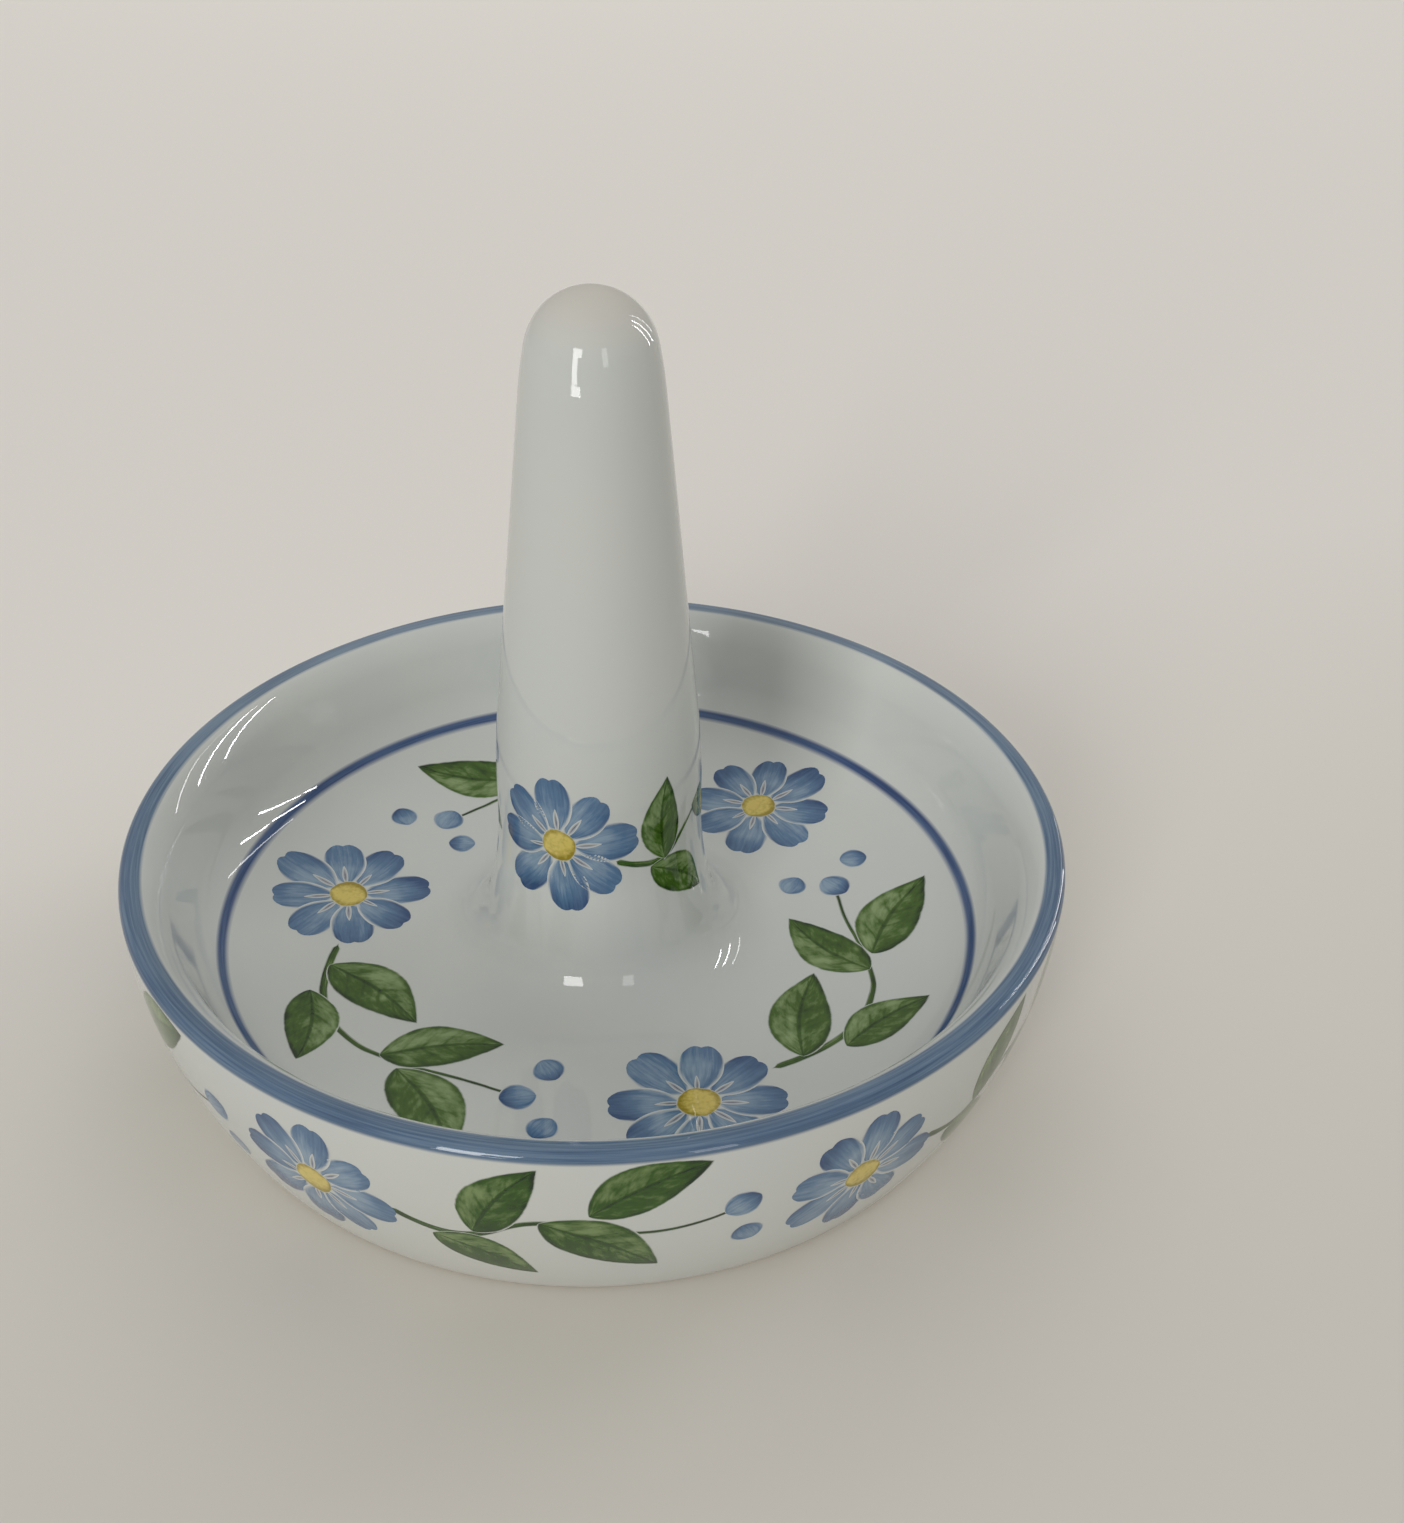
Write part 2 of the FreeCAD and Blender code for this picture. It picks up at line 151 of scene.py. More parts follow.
roomSettings = {
    "colour": (1, 1, 1, 1),
    "ceiling": 0.745,  # straight overhead, fading to nothing at the level of the table
    "walls": 0.02,
    "backdrop": (0.45, 0.436, 0.405, 1),  # what the camera and the glaze see of the room
}
# panels light the clay but aren't mirrored in the glaze; place is (azimuth, distance, height)
panelSettings = [
    {"name": "highBehind", "place": (0, 1.1, 0.9), "width": 0.9, "height": 0.9, "watts": 1.9},
    {"name": "frontLeft", "place": (-153, 7.0, 2.35), "width": 2.3, "height": 3.3, "watts": 220},
    {"name": "farRight", "place": (58, 7.0, 2.19), "width": 2.4, "height": 2.1, "watts": 70},
]
# strips and panes are only mirrored; each end of a strip is (azimuth, height angle) in degrees,
# with the azimuth counted from straight behind the dish towards the right
stripSettings = {
    "distance": 1.3,
    "strips": [
        {"name": "rightFar", "low": (52, 1), "high": (67, 35), "width": 0.022, "watts": 2.1},
        {"name": "rightNear", "low": (64, 3), "high": (75, 34), "width": 0.022, "watts": 2.0},
        {"name": "rightBehind", "low": (42, 3), "high": (57, 36), "width": 0.020, "watts": 0.5},
    ],
}
# a near window on the front left, narrow at its waist, and a faint one on the right;
# low and high are heights over the table
windowSettings = {
    "distance": 0.6,
    "panes": [
        {"name": "windowTop", "azimuth": -154.5, "low": 0.22, "high": 0.38, "width": 0.17, "watts": 0.74},
        {"name": "windowWaist", "azimuth": -151.9, "low": 0.05, "high": 0.22, "width": 0.09, "watts": 0.42},
        {"name": "windowFoot", "azimuth": -154.0, "low": 0.02, "high": 0.05, "width": 0.15, "watts": 0.13},
        {"name": "frontRight", "azimuth": 158.5, "low": 0.10, "high": 0.385, "width": 0.095, "watts": 0.22},
    ],
}


def lightRoom():
    s = roomSettings
    world = bpy.data.worlds.new("paleRoom")
    scene.world = world
    world.use_nodes = True
    tree = world.node_tree
    tree.nodes.clear()
    rise = splitXyz(tree, put(tree, "ShaderNodeTexCoord").outputs["Generated"])[2]
    level = timesPlus(tree, calc(tree, "MAXIMUM", rise, 0.0), s["ceiling"], s["walls"])
    glow = put(tree, "ShaderNodeBackground", [s["colour"], level])
    backdrop = put(tree, "ShaderNodeBackground", [s["backdrop"], 1.0])
    ray = put(tree, "ShaderNodeLightPath").outputs
    mirrored = calc(tree, "MAXIMUM", ray["Is Glossy Ray"], ray["Is Transmission Ray"])
    seen = calc(tree, "MAXIMUM", ray["Is Camera Ray"], mirrored)
    either = put(tree, "ShaderNodeMixShader", [seen, glow.outputs[0], backdrop.outputs[0]])
    put(tree, "ShaderNodeOutputWorld", [either.outputs[0]])


def addLamp(s, place, upward, height, mirrored):
    # a rectangle that faces the dish, its height along upward
    lamp = bpy.data.lights.new(s["name"], "AREA")
    lamp.shape = "RECTANGLE"
    lamp.size = s["width"]
    lamp.size_y = height
    lamp.energy = s["watts"]
    holder = bpy.data.objects.new(s["name"], lamp)
    back = place.normalized()
    side = upward.cross(back).normalized()
    turn = Matrix((side, back.cross(side), back)).transposed().to_4x4()
    holder.matrix_world = Matrix.Translation(place) @ turn
    holder.visible_glossy = mirrored
    holder.visible_diffuse = not mirrored
    scene.collection.objects.link(holder)


def outThere(azimuth, distance, height):
    turn = math.radians(azimuth)
    return Vector((distance * math.sin(turn), distance * math.cos(turn), height))


def hangLamps():
    upright = Vector((0, 0, 1))
    for panel in panelSettings:
        addLamp(panel, outThere(*panel["place"]), upright, panel["height"], False)
    reach = stripSettings["distance"]
    for strip in stripSettings["strips"]:
        low, high = (outThere(azimuth, reach, reach * math.tan(math.radians(rise)))
                     for azimuth, rise in (strip["low"], strip["high"]))
        addLamp(strip, (low + high) / 2, high - low, (high - low).length, True)
    for pane in windowSettings["panes"]:
        middle = outThere(pane["azimuth"], windowSettings["distance"], (pane["low"] + pane["high"]) / 2)
        addLamp(pane, middle, upright, pane["high"] - pane["low"], True)


lightRoom()
hangLamps()
print("room lit")


# Finishes

glazeSettings = {
    "white": (0.628, 0.639, 0.598, 1),  # clear glaze over porcelain
    "cool": (0.608, 0.628, 0.598, 1),  # where the glaze lies thicker
    "clay": (0.66, 0.62, 0.55, 1),  # bare clay under the foot ring
    "clayRough": 0.62,
    "warm": (0.628, 0.596, 0.528, 1),  # a warmer tint towards the tip of the post
    "gloss": 0.022,
    "refraction": 1.5,
    "cloud": 55,  # clouds per metre in the glaze
    "ripple": 420,  # ripples per metre
    "rippleDepth": 0.005,
    "wipe": 260,  # waves per metre along the wiped edge of the foot ring
    "wipeDepth": 0.35 * mm,
    "wipeEdge": (0.45 * mm, 0.6 * mm),  # heights between which the glaze begins
}


def newFinish(name):
    material = bpy.data.materials.new(name)
    material.use_nodes = True
    tree = material.node_tree
    tree.nodes.clear()
    shader = put(tree, "ShaderNodeBsdfPrincipled")
    put(tree, "ShaderNodeOutputMaterial", [shader.outputs[0]])
    return material, tree, shader


def objectPlace(tree):
    return put(tree, "ShaderNodeTexCoord").outputs["Object"]


def clouds(tree, scale, detail):
    return noise(tree, objectPlace(tree), scale, detail)[0]


def glossUp(tree, shader, colour):
    # the same gloss and ripple in every finish, so that a highlight runs on from one to the next
    s = glazeSettings
    wave = clouds(tree, s["ripple"], 1.0)
    bump = put(tree, "ShaderNodeBump", {"Strength": s["rippleDepth"], "Distance": 1 * mm, "Height": wave})
    tree.links.new(colour, shader.inputs["Base Color"])
    tree.links.new(bump.outputs[0], shader.inputs["Normal"])
    shader.inputs["Roughness"].default_value = s["gloss"]
    shader.inputs["IOR"].default_value = s["refraction"]


def whiteGlaze(tree):
    s = glazeSettings
    cloud = clouds(tree, s["cloud"], 3.0)
    return mixColour(tree, ease(tree, cloud, 0.3, 0.7), s["white"], s["cool"])


def attribute(tree, name):
    return put(tree, "ShaderNodeAttribute", attribute_name=name).outputs["Fac"]


def makePorcelain(name, footRing=False, thinFrom=None):
    s = glazeSettings
    material, tree, shader = newFinish(name)
    colour = whiteGlaze(tree)
    height = splitXyz(tree, objectPlace(tree))[2]
    if thinFrom:
        # the colour turns warmer towards the tip
        colour = mixColour(tree, ease(tree, height, *thinFrom), colour, s["warm"])
    if footRing:
        # the ring that the dish stands on is wiped clean of glaze, with an uneven edge
        wander = clouds(tree, s["wipe"], 2.0)
        wiped = plus(tree, height, times(tree, wander, s["wipeDepth"]))
        bare = ease(tree, wiped, *s["wipeEdge"], 1.0, 0.0)
        colour = mixColour(tree, bare, colour, s["clay"])
        rough = ease(tree, bare, 0, 1, s["gloss"], s["clayRough"])
        tree.links.new(rough, shader.inputs["Roughness"])
    glossUp(tree, shader, colour)
    return material


def threeTones(tree, depth, s, middle):
    # paint from pale through mid to deep
    ramp = put(tree, "ShaderNodeValToRGB", [depth])
    stops = ramp.color_ramp.elements
    stops[0].color, stops[1].color = s["pale"], s["deep"]
    stops.new(middle).color = s["mid"]
    return ramp.outputs[0]


def finishWash(tree, shader, cover, colour):
    # paint over the glaze where cover is 1, bare glaze where it is 0
    glossUp(tree, shader, mixColour(tree, cover, whiteGlaze(tree), colour))


brushSettings = {
    "lane": 1.3,
    "streak": 3.0,  # marks left by the hairs, and how dark they run
    "streakDepth": 1.9,
    "pool": 2.6,  # where the paint pooled
    "poolDepth": 0.7,
    "ragged": 0.06,  # how far the streaks fray the edges
}


def makeBand(name, s):
    # a turned band: streaks run round with the wheel, and both edges feather out
    brush = brushSettings
    material, tree, shader = newFinish(name)
    across = attribute(tree, "across")
    x, y, z = splitXyz(tree, objectPlace(tree))
    ring = vecCalc(tree, "NORMALIZE", joinXyz(tree, x, y, 0.0))
    rows = joinXyz(tree, 0.0, 0.0, times(tree, across, s["streaks"]))
    lane = vecCalc(tree, "ADD", scaled(tree, ring, brush["lane"]), rows)
    streak = noise(tree, lane, brush["streak"], 4.0, 0.62)[0]
    pool = noise(tree, ring, brush["pool"], 2.0)[0]
    lean = times(tree, across, s["darkSide"])
    depth = swing(tree, lean, streak, 0.5, brush["streakDepth"])
    depth = swing(tree, depth, pool, 0.35, brush["poolDepth"])
    ragged = swing(tree, across, streak, 0.5, brush["ragged"])
    # the brush ran a little off centre, so the band starts later on one side
    turn = math.radians(s["towards"])
    aside = vecCalc(tree, "DOT_PRODUCT", ring, (math.cos(turn), math.sin(turn), 0.0))
    late = timesPlus(tree, aside, s["sway"], s["sway"])
    begin = ease(tree, less(tree, ragged, late), 0.0, s["fadeIn"])
    stop = ease(tree, ragged, 1.0 - s["fadeOut"], 1.0, 1.0, 0.0)
    # painted sheen: the band is painted paler at the back, where the glaze mirrors the pale room
    backSheen = vecCalc(tree, "DOT_PRODUCT", ring, (0.0, 1.0, 0.0))
    backSheen = ease(tree, backSheen, -0.2, 0.9, 1.0, 1.0 - s["thin"])
    cover = times(tree, times(tree, begin, stop), backSheen)
    finishWash(tree, shader, cover, threeTones(tree, depth, s, 0.45))
    return material


# Turned pieces: one tree spins any outline about the upright axis

def newTree(name, inputs):
    tree = bpy.data.node_groups.new(name, "GeometryNodeTree")
    tree.interface.new_socket("Geometry", in_out="INPUT", socket_type="NodeSocketGeometry")
    for label, kind in inputs:
        tree.interface.new_socket(label, in_out="INPUT", socket_type="NodeSocket" + kind)
    tree.interface.new_socket("Geometry", in_out="OUTPUT", socket_type="NodeSocketGeometry")
    return tree, put(tree, "NodeGroupInput").outputs


def here(tree):
    return feed(tree, "GeometryNodeInputPosition")


def drift(tree, scale, detail):
    # a push to any side, which changes slowly from place to place
    return vecCalc(tree, "SUBTRACT", noise(tree, here(tree), scale, detail)["Color"], (0.5, 0.5, 0.5))


def rank(tree):
    return feed(tree, "GeometryNodeInputIndex")


def setPlace(tree, geometry, **place):
    return feed(tree, "GeometryNodeSetPosition", {"Geometry": geometry, **place})


def weld(tree, geometry, distance):
    return feed(tree, "GeometryNodeMergeByDistance", {"Geometry": geometry, "Distance": distance})


def realize(tree, geometry):
    return feed(tree, "GeometryNodeRealizeInstances", {"Geometry": geometry})


def store(tree, geometry, name, value, kind="FLOAT", domain="POINT"):
    inputs = {"Geometry": geometry, "Name": name, "Value": value}
    return feed(tree, "GeometryNodeStoreNamedAttribute", inputs, data_type=kind, domain=domain)


def named(tree, name, kind="FLOAT"):
    return feed(tree, "GeometryNodeInputNamedAttribute", [name], data_type=kind)


def finishTree(tree, geometry, material):
    smooth = feed(tree, "GeometryNodeSetShadeSmooth", {"Geometry": realize(tree, geometry)})
    dressed = feed(tree, "GeometryNodeSetMaterial", {"Geometry": smooth, "Material": material})
    put(tree, "NodeGroupOutput", [dressed])


wheelSettings = {
    "wobble": 0.09 * mm,  # how far a hand-turned wall strays
    "waves": 34.0,  # per metre
    "steady": 6 * mm,  # the wobble dies away from this height down, so that the dish stands flat
    "seam": 0.0001 * mm,
    "sharp": 38,  # degrees; a sharper turn shows as an edge
}


def wheelTree():
    s = wheelSettings
    tree, given = newTree("wheelTree", [("Around", "Int"), ("Material", "Material")])
    outline = given["Geometry"]
    count = put(tree, "GeometryNodeAttributeDomainSize", [outline]).outputs["Point Count"]
    rows = plus(tree, given["Around"], 1)
    grid = feed(tree, "GeometryNodeMeshGrid", {"Vertices X": rows, "Vertices Y": count})
    index, place = rank(tree), here(tree)
    step = calc(tree, "MODULO", index, count)
    turn = calc(tree, "FLOOR", calc(tree, "DIVIDE", plus(tree, index, 0.5), count))
    angle = times(tree, turn, calc(tree, "DIVIDE", 2 * math.pi, given["Around"]))

    def fromOutline(value, kind):
        inputs = {"Geometry": outline, "Value": value, "Index": step}
        return feed(tree, "GeometryNodeSampleIndex", inputs, data_type=kind)

    r, aside, z = splitXyz(tree, fromOutline(place, "FLOAT_VECTOR"))
    spun = joinXyz(tree, times(tree, r, calc(tree, "COSINE", angle)),
                   times(tree, r, calc(tree, "SINE", angle)), z)
    marked = store(tree, grid, "across", fromOutline(named(tree, "across"), "FLOAT"))
    sealed = weld(tree, setPlace(tree, marked, Position=spun), s["seam"])
    amount = times(tree, s["wobble"], ease(tree, splitXyz(tree, place)[2], 0.0, s["steady"]))
    moved = setPlace(tree, sealed, Offset=scaled(tree, drift(tree, s["waves"], 1.0), amount))
    outward = feed(tree, "GeometryNodeFlipFaces", {"Mesh": moved})
    normal = feed(tree, "GeometryNodeInputNormal")
    finishTree(tree, store(tree, outward, "skin", normal, "FLOAT_VECTOR"), given["Material"])
    return tree


def grow(name, shape, tree, values, wall=0.0):
    # runs a tree on a mesh or curve and keeps the plain mesh that comes out
    maker = bpy.data.objects.new(name, shape)
    scene.collection.objects.link(maker)
    modifier = maker.modifiers.new("shape", "NODES")
    modifier.node_group = tree
    sockets = {item.name: item.identifier for item in tree.interface.items_tree if item.in_out == "INPUT"}
    for label, value in values.items():
        modifier[sockets[label]] = value
    if wall:
        backing = maker.modifiers.new("wall", "SOLIDIFY")
        backing.thickness = wall
        backing.offset = -1
    graph = bpy.context.evaluated_depsgraph_get()
    shaped = maker.evaluated_get(graph)
    plain = bpy.data.meshes.new_from_object(shaped, preserve_all_data_layers=True, depsgraph=graph)
    plain.name = name
    bpy.data.objects.remove(maker)
    piece = bpy.data.objects.new(name, plain)
    scene.collection.objects.link(piece)
    return piece


def arc(centre, radius, start, end, steps):
    angles = [math.radians(start + (end - start) * i / steps) for i in range(steps + 1)]
    return [(centre[0] + radius * math.cos(a), centre[1] + radius * math.sin(a)) for a in angles]


def line(start, end, steps):
    return [(start[0] + (end[0] - start[0]) * i / steps, start[1] + (end[1] - start[1]) * i / steps)
            for i in range(steps + 1)]


def roundCorner(before, corner, after, radius, steps):
    a, b, c = Vector(before), Vector(corner), Vector(after)
    inward, onward = (a - b).normalized(), (c - b).normalized()
    half = inward.angle(onward) / 2
    middle = b + (inward + onward).normalized() * (radius / math.sin(half))
    start, end = b + inward * (radius / math.tan(half)), b + onward * (radius / math.tan(half))
    sweep = (start - middle).angle_signed(end - middle)
    spokes = [Matrix.Rotation(-sweep * i / steps, 2) @ (start - middle) for i in range(steps + 1)]
    return [tuple(middle + spoke) for spoke in spokes]


sameSpot = 0.001 * mm  # nearer points of an outline count as one
wheel = wheelTree()


def outlineMesh(name, points, across=None):
    lanes = across or [0.0] * len(points)
    kept = [(points[0], lanes[0])]
    for point, lane in zip(points[1:], lanes[1:]):
        if (Vector(point) - Vector(kept[-1][0])).length > sameSpot:
            kept.append((point, lane))
    mesh = bpy.data.meshes.new(name)
    mesh.from_pydata([(r, 0, z) for (r, z), lane in kept], [(i, i + 1) for i in range(len(kept) - 1)], [])
    mesh.attributes.new("across", "FLOAT", "POINT").data.foreach_set("value", [lane for point, lane in kept])
    return mesh


def turnPiece(name, points, material, around, across=None):
    piece = grow(name, outlineMesh(name, points, across), wheel, {"Around": around, "Material": material})
    piece.data.set_sharp_from_angle(angle=math.radians(wheelSettings["sharp"]))
    return piece


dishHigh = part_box("dish")[1]
postLow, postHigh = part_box("ring_post")
beadLow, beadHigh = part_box("slip_bead")
rimRadius, rimTop = dishHigh.x, dishHigh.z
floorTop = beadLow.z

dishSettings = {
    "edge": 0.8 * mm,  # tight outer edge of the lip
    "roll": 2.28 * mm,  # rounder inner side
    "rollEnd": 43,  # where it slows down, in degrees
    "slowRoll": 6.7 * mm,  # and runs out into the wall
    "lean": 17.7,  # the inner wall's lean from upright, in degrees
    "cove": 8.3 * mm,  # hollow where the wall meets the floor
    "rise": 1.4 * mm,  # how much the floor sweeps up from the post to the cove
    "margin": 0.15 * mm,  # flat floor outside the slip
    "spread": 4.7 * mm,  # how far the rim stands out past the foot
    "footWidth": 3.2 * mm,
    "footDepth": 2.4 * mm,
    "footDraft": 0.9 * mm,
    "footRound": 0.7 * mm,
    "seatRadius": 9.8 * mm,
    "seatDepth": 1.6 * mm,
    "vent": 2.5 * mm,
    "ventRound": 0.4 * mm,
    "around": 600,  # facets round the dish
}
s = dishSettings
edgeCentre = (rimRadius - s["edge"], rimTop - s["edge"])
rollCentre = (edgeCentre[0], rimTop - s["roll"])
lean = math.radians(s["lean"])
rollEnd = math.radians(s["rollEnd"])
slowing = s["slowRoll"] - s["roll"]
slowCentre = (rollCentre[0] + slowing * math.cos(rollEnd), rollCentre[1] - slowing * math.sin(rollEnd))
wallTop = (slowCentre[0] - s["slowRoll"] * math.cos(lean), slowCentre[1] + s["slowRoll"] * math.sin(lean))
coveHeight = floorTop + s["rise"] + s["cove"]
coveReach = (s["cove"] - (coveHeight - wallTop[1]) * math.sin(lean)) / math.cos(lean)
coveCentre = (wallTop[0] - coveReach, coveHeight)
flatRadius = beadHigh.x + s["margin"]
sweepReach = Vector((coveCentre[0] - flatRadius, coveHeight - floorTop))
sweepRadius = (sweepReach.length ** 2 - s["cove"] ** 2) / (2 * s["rise"])
sweepTurn = math.degrees(math.atan2(sweepReach.x, sweepRadius - sweepReach.y))
bellyRadius = (s["spread"] ** 2 + edgeCentre[1] ** 2) / (2 * s["spread"])
bellyCentre = (rimRadius - bellyRadius, edgeCentre[1])
bellySweep = math.degrees(math.asin(edgeCentre[1] / bellyRadius))


def dishOutline():
    s = dishSettings
    foot = rimRadius - s["spread"]
    seat = floorTop - s["seatDepth"]
    points = line((s["vent"], seat), (s["seatRadius"], seat), 3)
    points += line((s["seatRadius"], floorTop), (flatRadius, floorTop), 6)
    points += arc((flatRadius, floorTop + sweepRadius), sweepRadius, -90, -90 + sweepTurn, 16)
    points += arc(coveCentre, s["cove"], -90 + sweepTurn, -s["lean"], 34)
    points += line(points[-1], wallTop, 4)
    points += arc(slowCentre, s["slowRoll"], 180 - s["lean"], 180 - s["rollEnd"], 12)
    points += arc(rollCentre, s["roll"], 180 - s["rollEnd"], 90, 18)
    points += arc(edgeCentre, s["edge"], 90, 0, 12)
    belly = arc(bellyCentre, bellyRadius, 0, -bellySweep, 22)
    heel, toe = (foot, 0.0), (foot - s["footWidth"], 0.0)
    recess = (toe[0] - s["footDraft"], s["footDepth"])
    middle = (s["vent"], s["footDepth"])
    points += belly[:-1]
    points += roundCorner(belly[-2], heel, toe, s["footRound"], 6)
    points += roundCorner(heel, toe, recess, s["footRound"], 6)
    points += roundCorner(toe, recess, middle, s["footRound"], 6)
    ventEdge = s["vent"] + s["ventRound"]
    points += line((recess[0] - s["footRound"], s["footDepth"]), (ventEdge, s["footDepth"]), 6)
    points += arc((ventEdge, s["footDepth"] + s["ventRound"]), s["ventRound"], -90, -180, 4)
    return points + [points[0]]


postSettings = {
    "barrel": 9.65 * mm,  # radius below the knee
    "tip": 5.57 * mm,  # radius of the domed tip
    "shoulder": 38 * mm,  # slow arc from the dome to the taper
    "shoulderTurn": 6.0,  # how far it turns, in degrees
    "knee": 27.5 * mm,  # height where the taper starts
    "kneeRound": 80 * mm,
    "wall": 3 * mm,
    "flareRise": 15.5 * mm,
    "flareSweep": 45 * mm,  # the flare starts slowly
    "flareFillet": 7 * mm,  # and turns out tighter at its foot
    "skirt": 0.7 * mm,  # thickness of the flare's edge
    "thin": (65.5 * mm, 70.5 * mm),  # heights between which the colour turns warmer towards the tip
    "around": 480,
}
slipSettings = {"sink": 0.05 * mm, "around": 300}


def crossing(centre, radius, other, otherRadius):
    # where two circles meet, on the left of the line from one centre to the other
    gap = Vector(other) - Vector(centre)
    along = (gap.length ** 2 + radius ** 2 - otherRadius ** 2) / (2 * gap.length)
    ahead = gap.normalized()
    return Vector(centre) + ahead * along + Vector((-ahead.y, ahead.x)) * math.sqrt(radius ** 2 - along ** 2)


def bearing(start, end):
    return math.degrees(math.atan2(end[1] - start[1], end[0] - start[0]))


s = postSettings
tipCentre = Vector((0.0, postHigh.z - s["tip"]))
shoulderInset = s["shoulder"] - s["tip"]
taperReach = s["shoulder"] - shoulderInset * math.cos(math.radians(s["shoulderTurn"]))
taperRun = Vector((s["barrel"], tipCentre.y - s["knee"]))
taper = math.degrees(math.atan2(taperRun.x, taperRun.y) - math.asin(taperReach / taperRun.length))
domeFoot = taper + s["shoulderTurn"]
domeAngle = math.radians(domeFoot)
shoulderCentre = tipCentre - Vector((math.cos(domeAngle), math.sin(domeAngle))) * shoulderInset
skirtRadius, skirtTop = postHigh.x, floorTop + s["skirt"]
flareTop = skirtTop + s["flareRise"]
flareCentre = Vector((s["barrel"] + s["flareSweep"], flareTop))
filletCentre = crossing((skirtRadius, skirtTop), s["flareFillet"],
                        flareCentre, s["flareSweep"] - s["flareFillet"])
flareTurn = bearing(filletCentre, flareCentre)
filletEnd = bearing((skirtRadius, skirtTop), filletCentre)


def postSide():
    # from the tip down to the foot of the flare
    s = postSettings
    kneeDrop = s["kneeRound"] * math.tan(math.radians(taper / 2))
    kneeCentre = (s["barrel"] - s["kneeRound"], s["knee"] - kneeDrop)
    points = arc(tipCentre, s["tip"], 90, domeFoot, 40)
    points += arc(shoulderCentre, s["shoulder"], domeFoot, taper, 12)[1:]
    knee = arc(kneeCentre, s["kneeRound"], taper, 0, 12)
    points += line(points[-1], knee[0], 26)[1:-1] + knee
    points += arc(flareCentre, s["flareSweep"], 180, 180 + flareTurn, 20)
    return points + arc(filletCentre, s["flareFillet"], 180 + flareTurn, 180 + filletEnd, 24)[1:]


def postOutline():
    s = postSettings
    bore = s["barrel"] - s["wall"]
    points = postSide()
    points += [(skirtRadius, floorTop), (s["barrel"], floorTop), (s["barrel"], postLow.z), (bore, postLow.z)]
    # the hollow inside, under the dome
    inner = arc(tipCentre, s["tip"] - s["wall"], taper, 90, 12)
    innerKnee = inner[0][1] - (bore - inner[0][0]) / math.tan(math.radians(taper))
    return points + line((bore, innerKnee), inner[0], 12) + inner[1:]


def slipOutline():
    # hollow fillet from the flare's edge that runs out to nothing on the floor
    slope = 90 - filletEnd
    hollow = postSettings["skirt"] / (1 - math.cos(math.radians(slope)))
    reach = skirtRadius + hollow * math.sin(math.radians(slope))
    sunk = floorTop - slipSettings["sink"]
    top = arc((reach, floorTop + hollow), hollow, 270 - slope, 270, 20)
    return [(skirtRadius, sunk)] + top + [(reach, sunk), (skirtRadius, sunk)]


dishPorcelain = makePorcelain("dishPorcelain", footRing=True)
postPorcelain = makePorcelain("postPorcelain", thinFrom=postSettings["thin"])
slipPorcelain = makePorcelain("slipPorcelain")
turnedDish = turnPiece("turned_dish", dishOutline(), dishPorcelain, dishSettings["around"])
fingerPost = turnPiece("finger_post", postOutline(), postPorcelain, postSettings["around"])
slipFillet = turnPiece("slip_fillet", slipOutline(), slipPorcelain, slipSettings["around"])
print("porcelain turned")


# Painted bands: thin films that follow the lip and the hollow of the cove

bandFilm = {
    "rise": 0.006 * mm,
    "bed": 0.002 * mm,  # how deep the edges of a film lie in the glaze
    "sink": 0.03 * mm,
}
rimBandSettings = {
    "start": 1.45 * mm,  # from the lip's crest inwards
    "drop": 0.15 * mm,  # down the outside
    "steps": 24,
    "dropSteps": 8,
    "around": 600,
    "pale": (0.150, 0.222, 0.310, 1),
    "mid": (0.083, 0.141, 0.230, 1),
    "deep": (0.030, 0.055, 0.115, 1),
    "darkSide": 0.35,  # deeper towards its outer edge
    "fadeIn": 0.15,
    "fadeOut": 0.15,
    "streaks": 5.0,
    "sway": 0.03,
    "towards": 40,  # degrees
    # how much paler the band is painted at the back, a painted sheen
    "thin": 0.13,
}
lineSettings = {
    "radius": 36.5 * mm,
    "width": 1.75 * mm,
    "steps": 16,
    "around": 600,
    "pale": (0.070, 0.125, 0.250, 1),
    "mid": (0.035, 0.072, 0.185, 1),
    "deep": (0.015, 0.035, 0.110, 1),
    "darkSide": 0.25,
    "fadeIn": 0.42,
    "fadeOut": 0.34,
    "streaks": 2.0,
    "sway": 0.0,
    "towards": 0,
    "thin": 0.0,
}


def bandOutline(face):
    # face lists (point, outward normal) along the band; the film tapers to nothing at both edges
    steps = [(Vector(after[0]) - Vector(before[0])).length for before, after in zip(face, face[1:])]
    travelled = [sum(steps[:i]) for i in range(len(face))]
    top, under, lanes = [], [], []
    for (point, normal), distance in zip(face, travelled):
        share = distance / travelled[-1]
        swell = math.sin(math.pi * share) ** 0.5
        height = bandFilm["rise"] * swell - bandFilm["bed"]
        top.append((point[0] + normal[0] * height, point[1] + normal[1] * height))
        under.append((point[0] - normal[0] * bandFilm["sink"], point[1] - normal[1] * bandFilm["sink"]))
        lanes.append(share)
    points = top + under[::-1] + [top[0]]
    return points, lanes + lanes[::-1] + [lanes[0]]


def faceOfArc(centre, radius, start, end, steps, outward):
    face = []
    for point in arc(centre, radius, start, end, steps):
        normal = Vector(point) - Vector(centre)
        face.append((point, tuple(normal.normalized() * outward)))
    return face


def rimBandFace():
    s = rimBandSettings
    drop = math.degrees(s["drop"] / bellyRadius)
    start = 90 + math.degrees(s["start"] / dishSettings["roll"])
    over = faceOfArc(rollCentre, dishSettings["roll"], start, 90, s["steps"], 1)
    over += faceOfArc(edgeCentre, dishSettings["edge"], 90, 0, s["steps"], 1)[1:]
    return over + faceOfArc(bellyCentre, bellyRadius, 0, -drop, s["dropSteps"], 1)[1:]


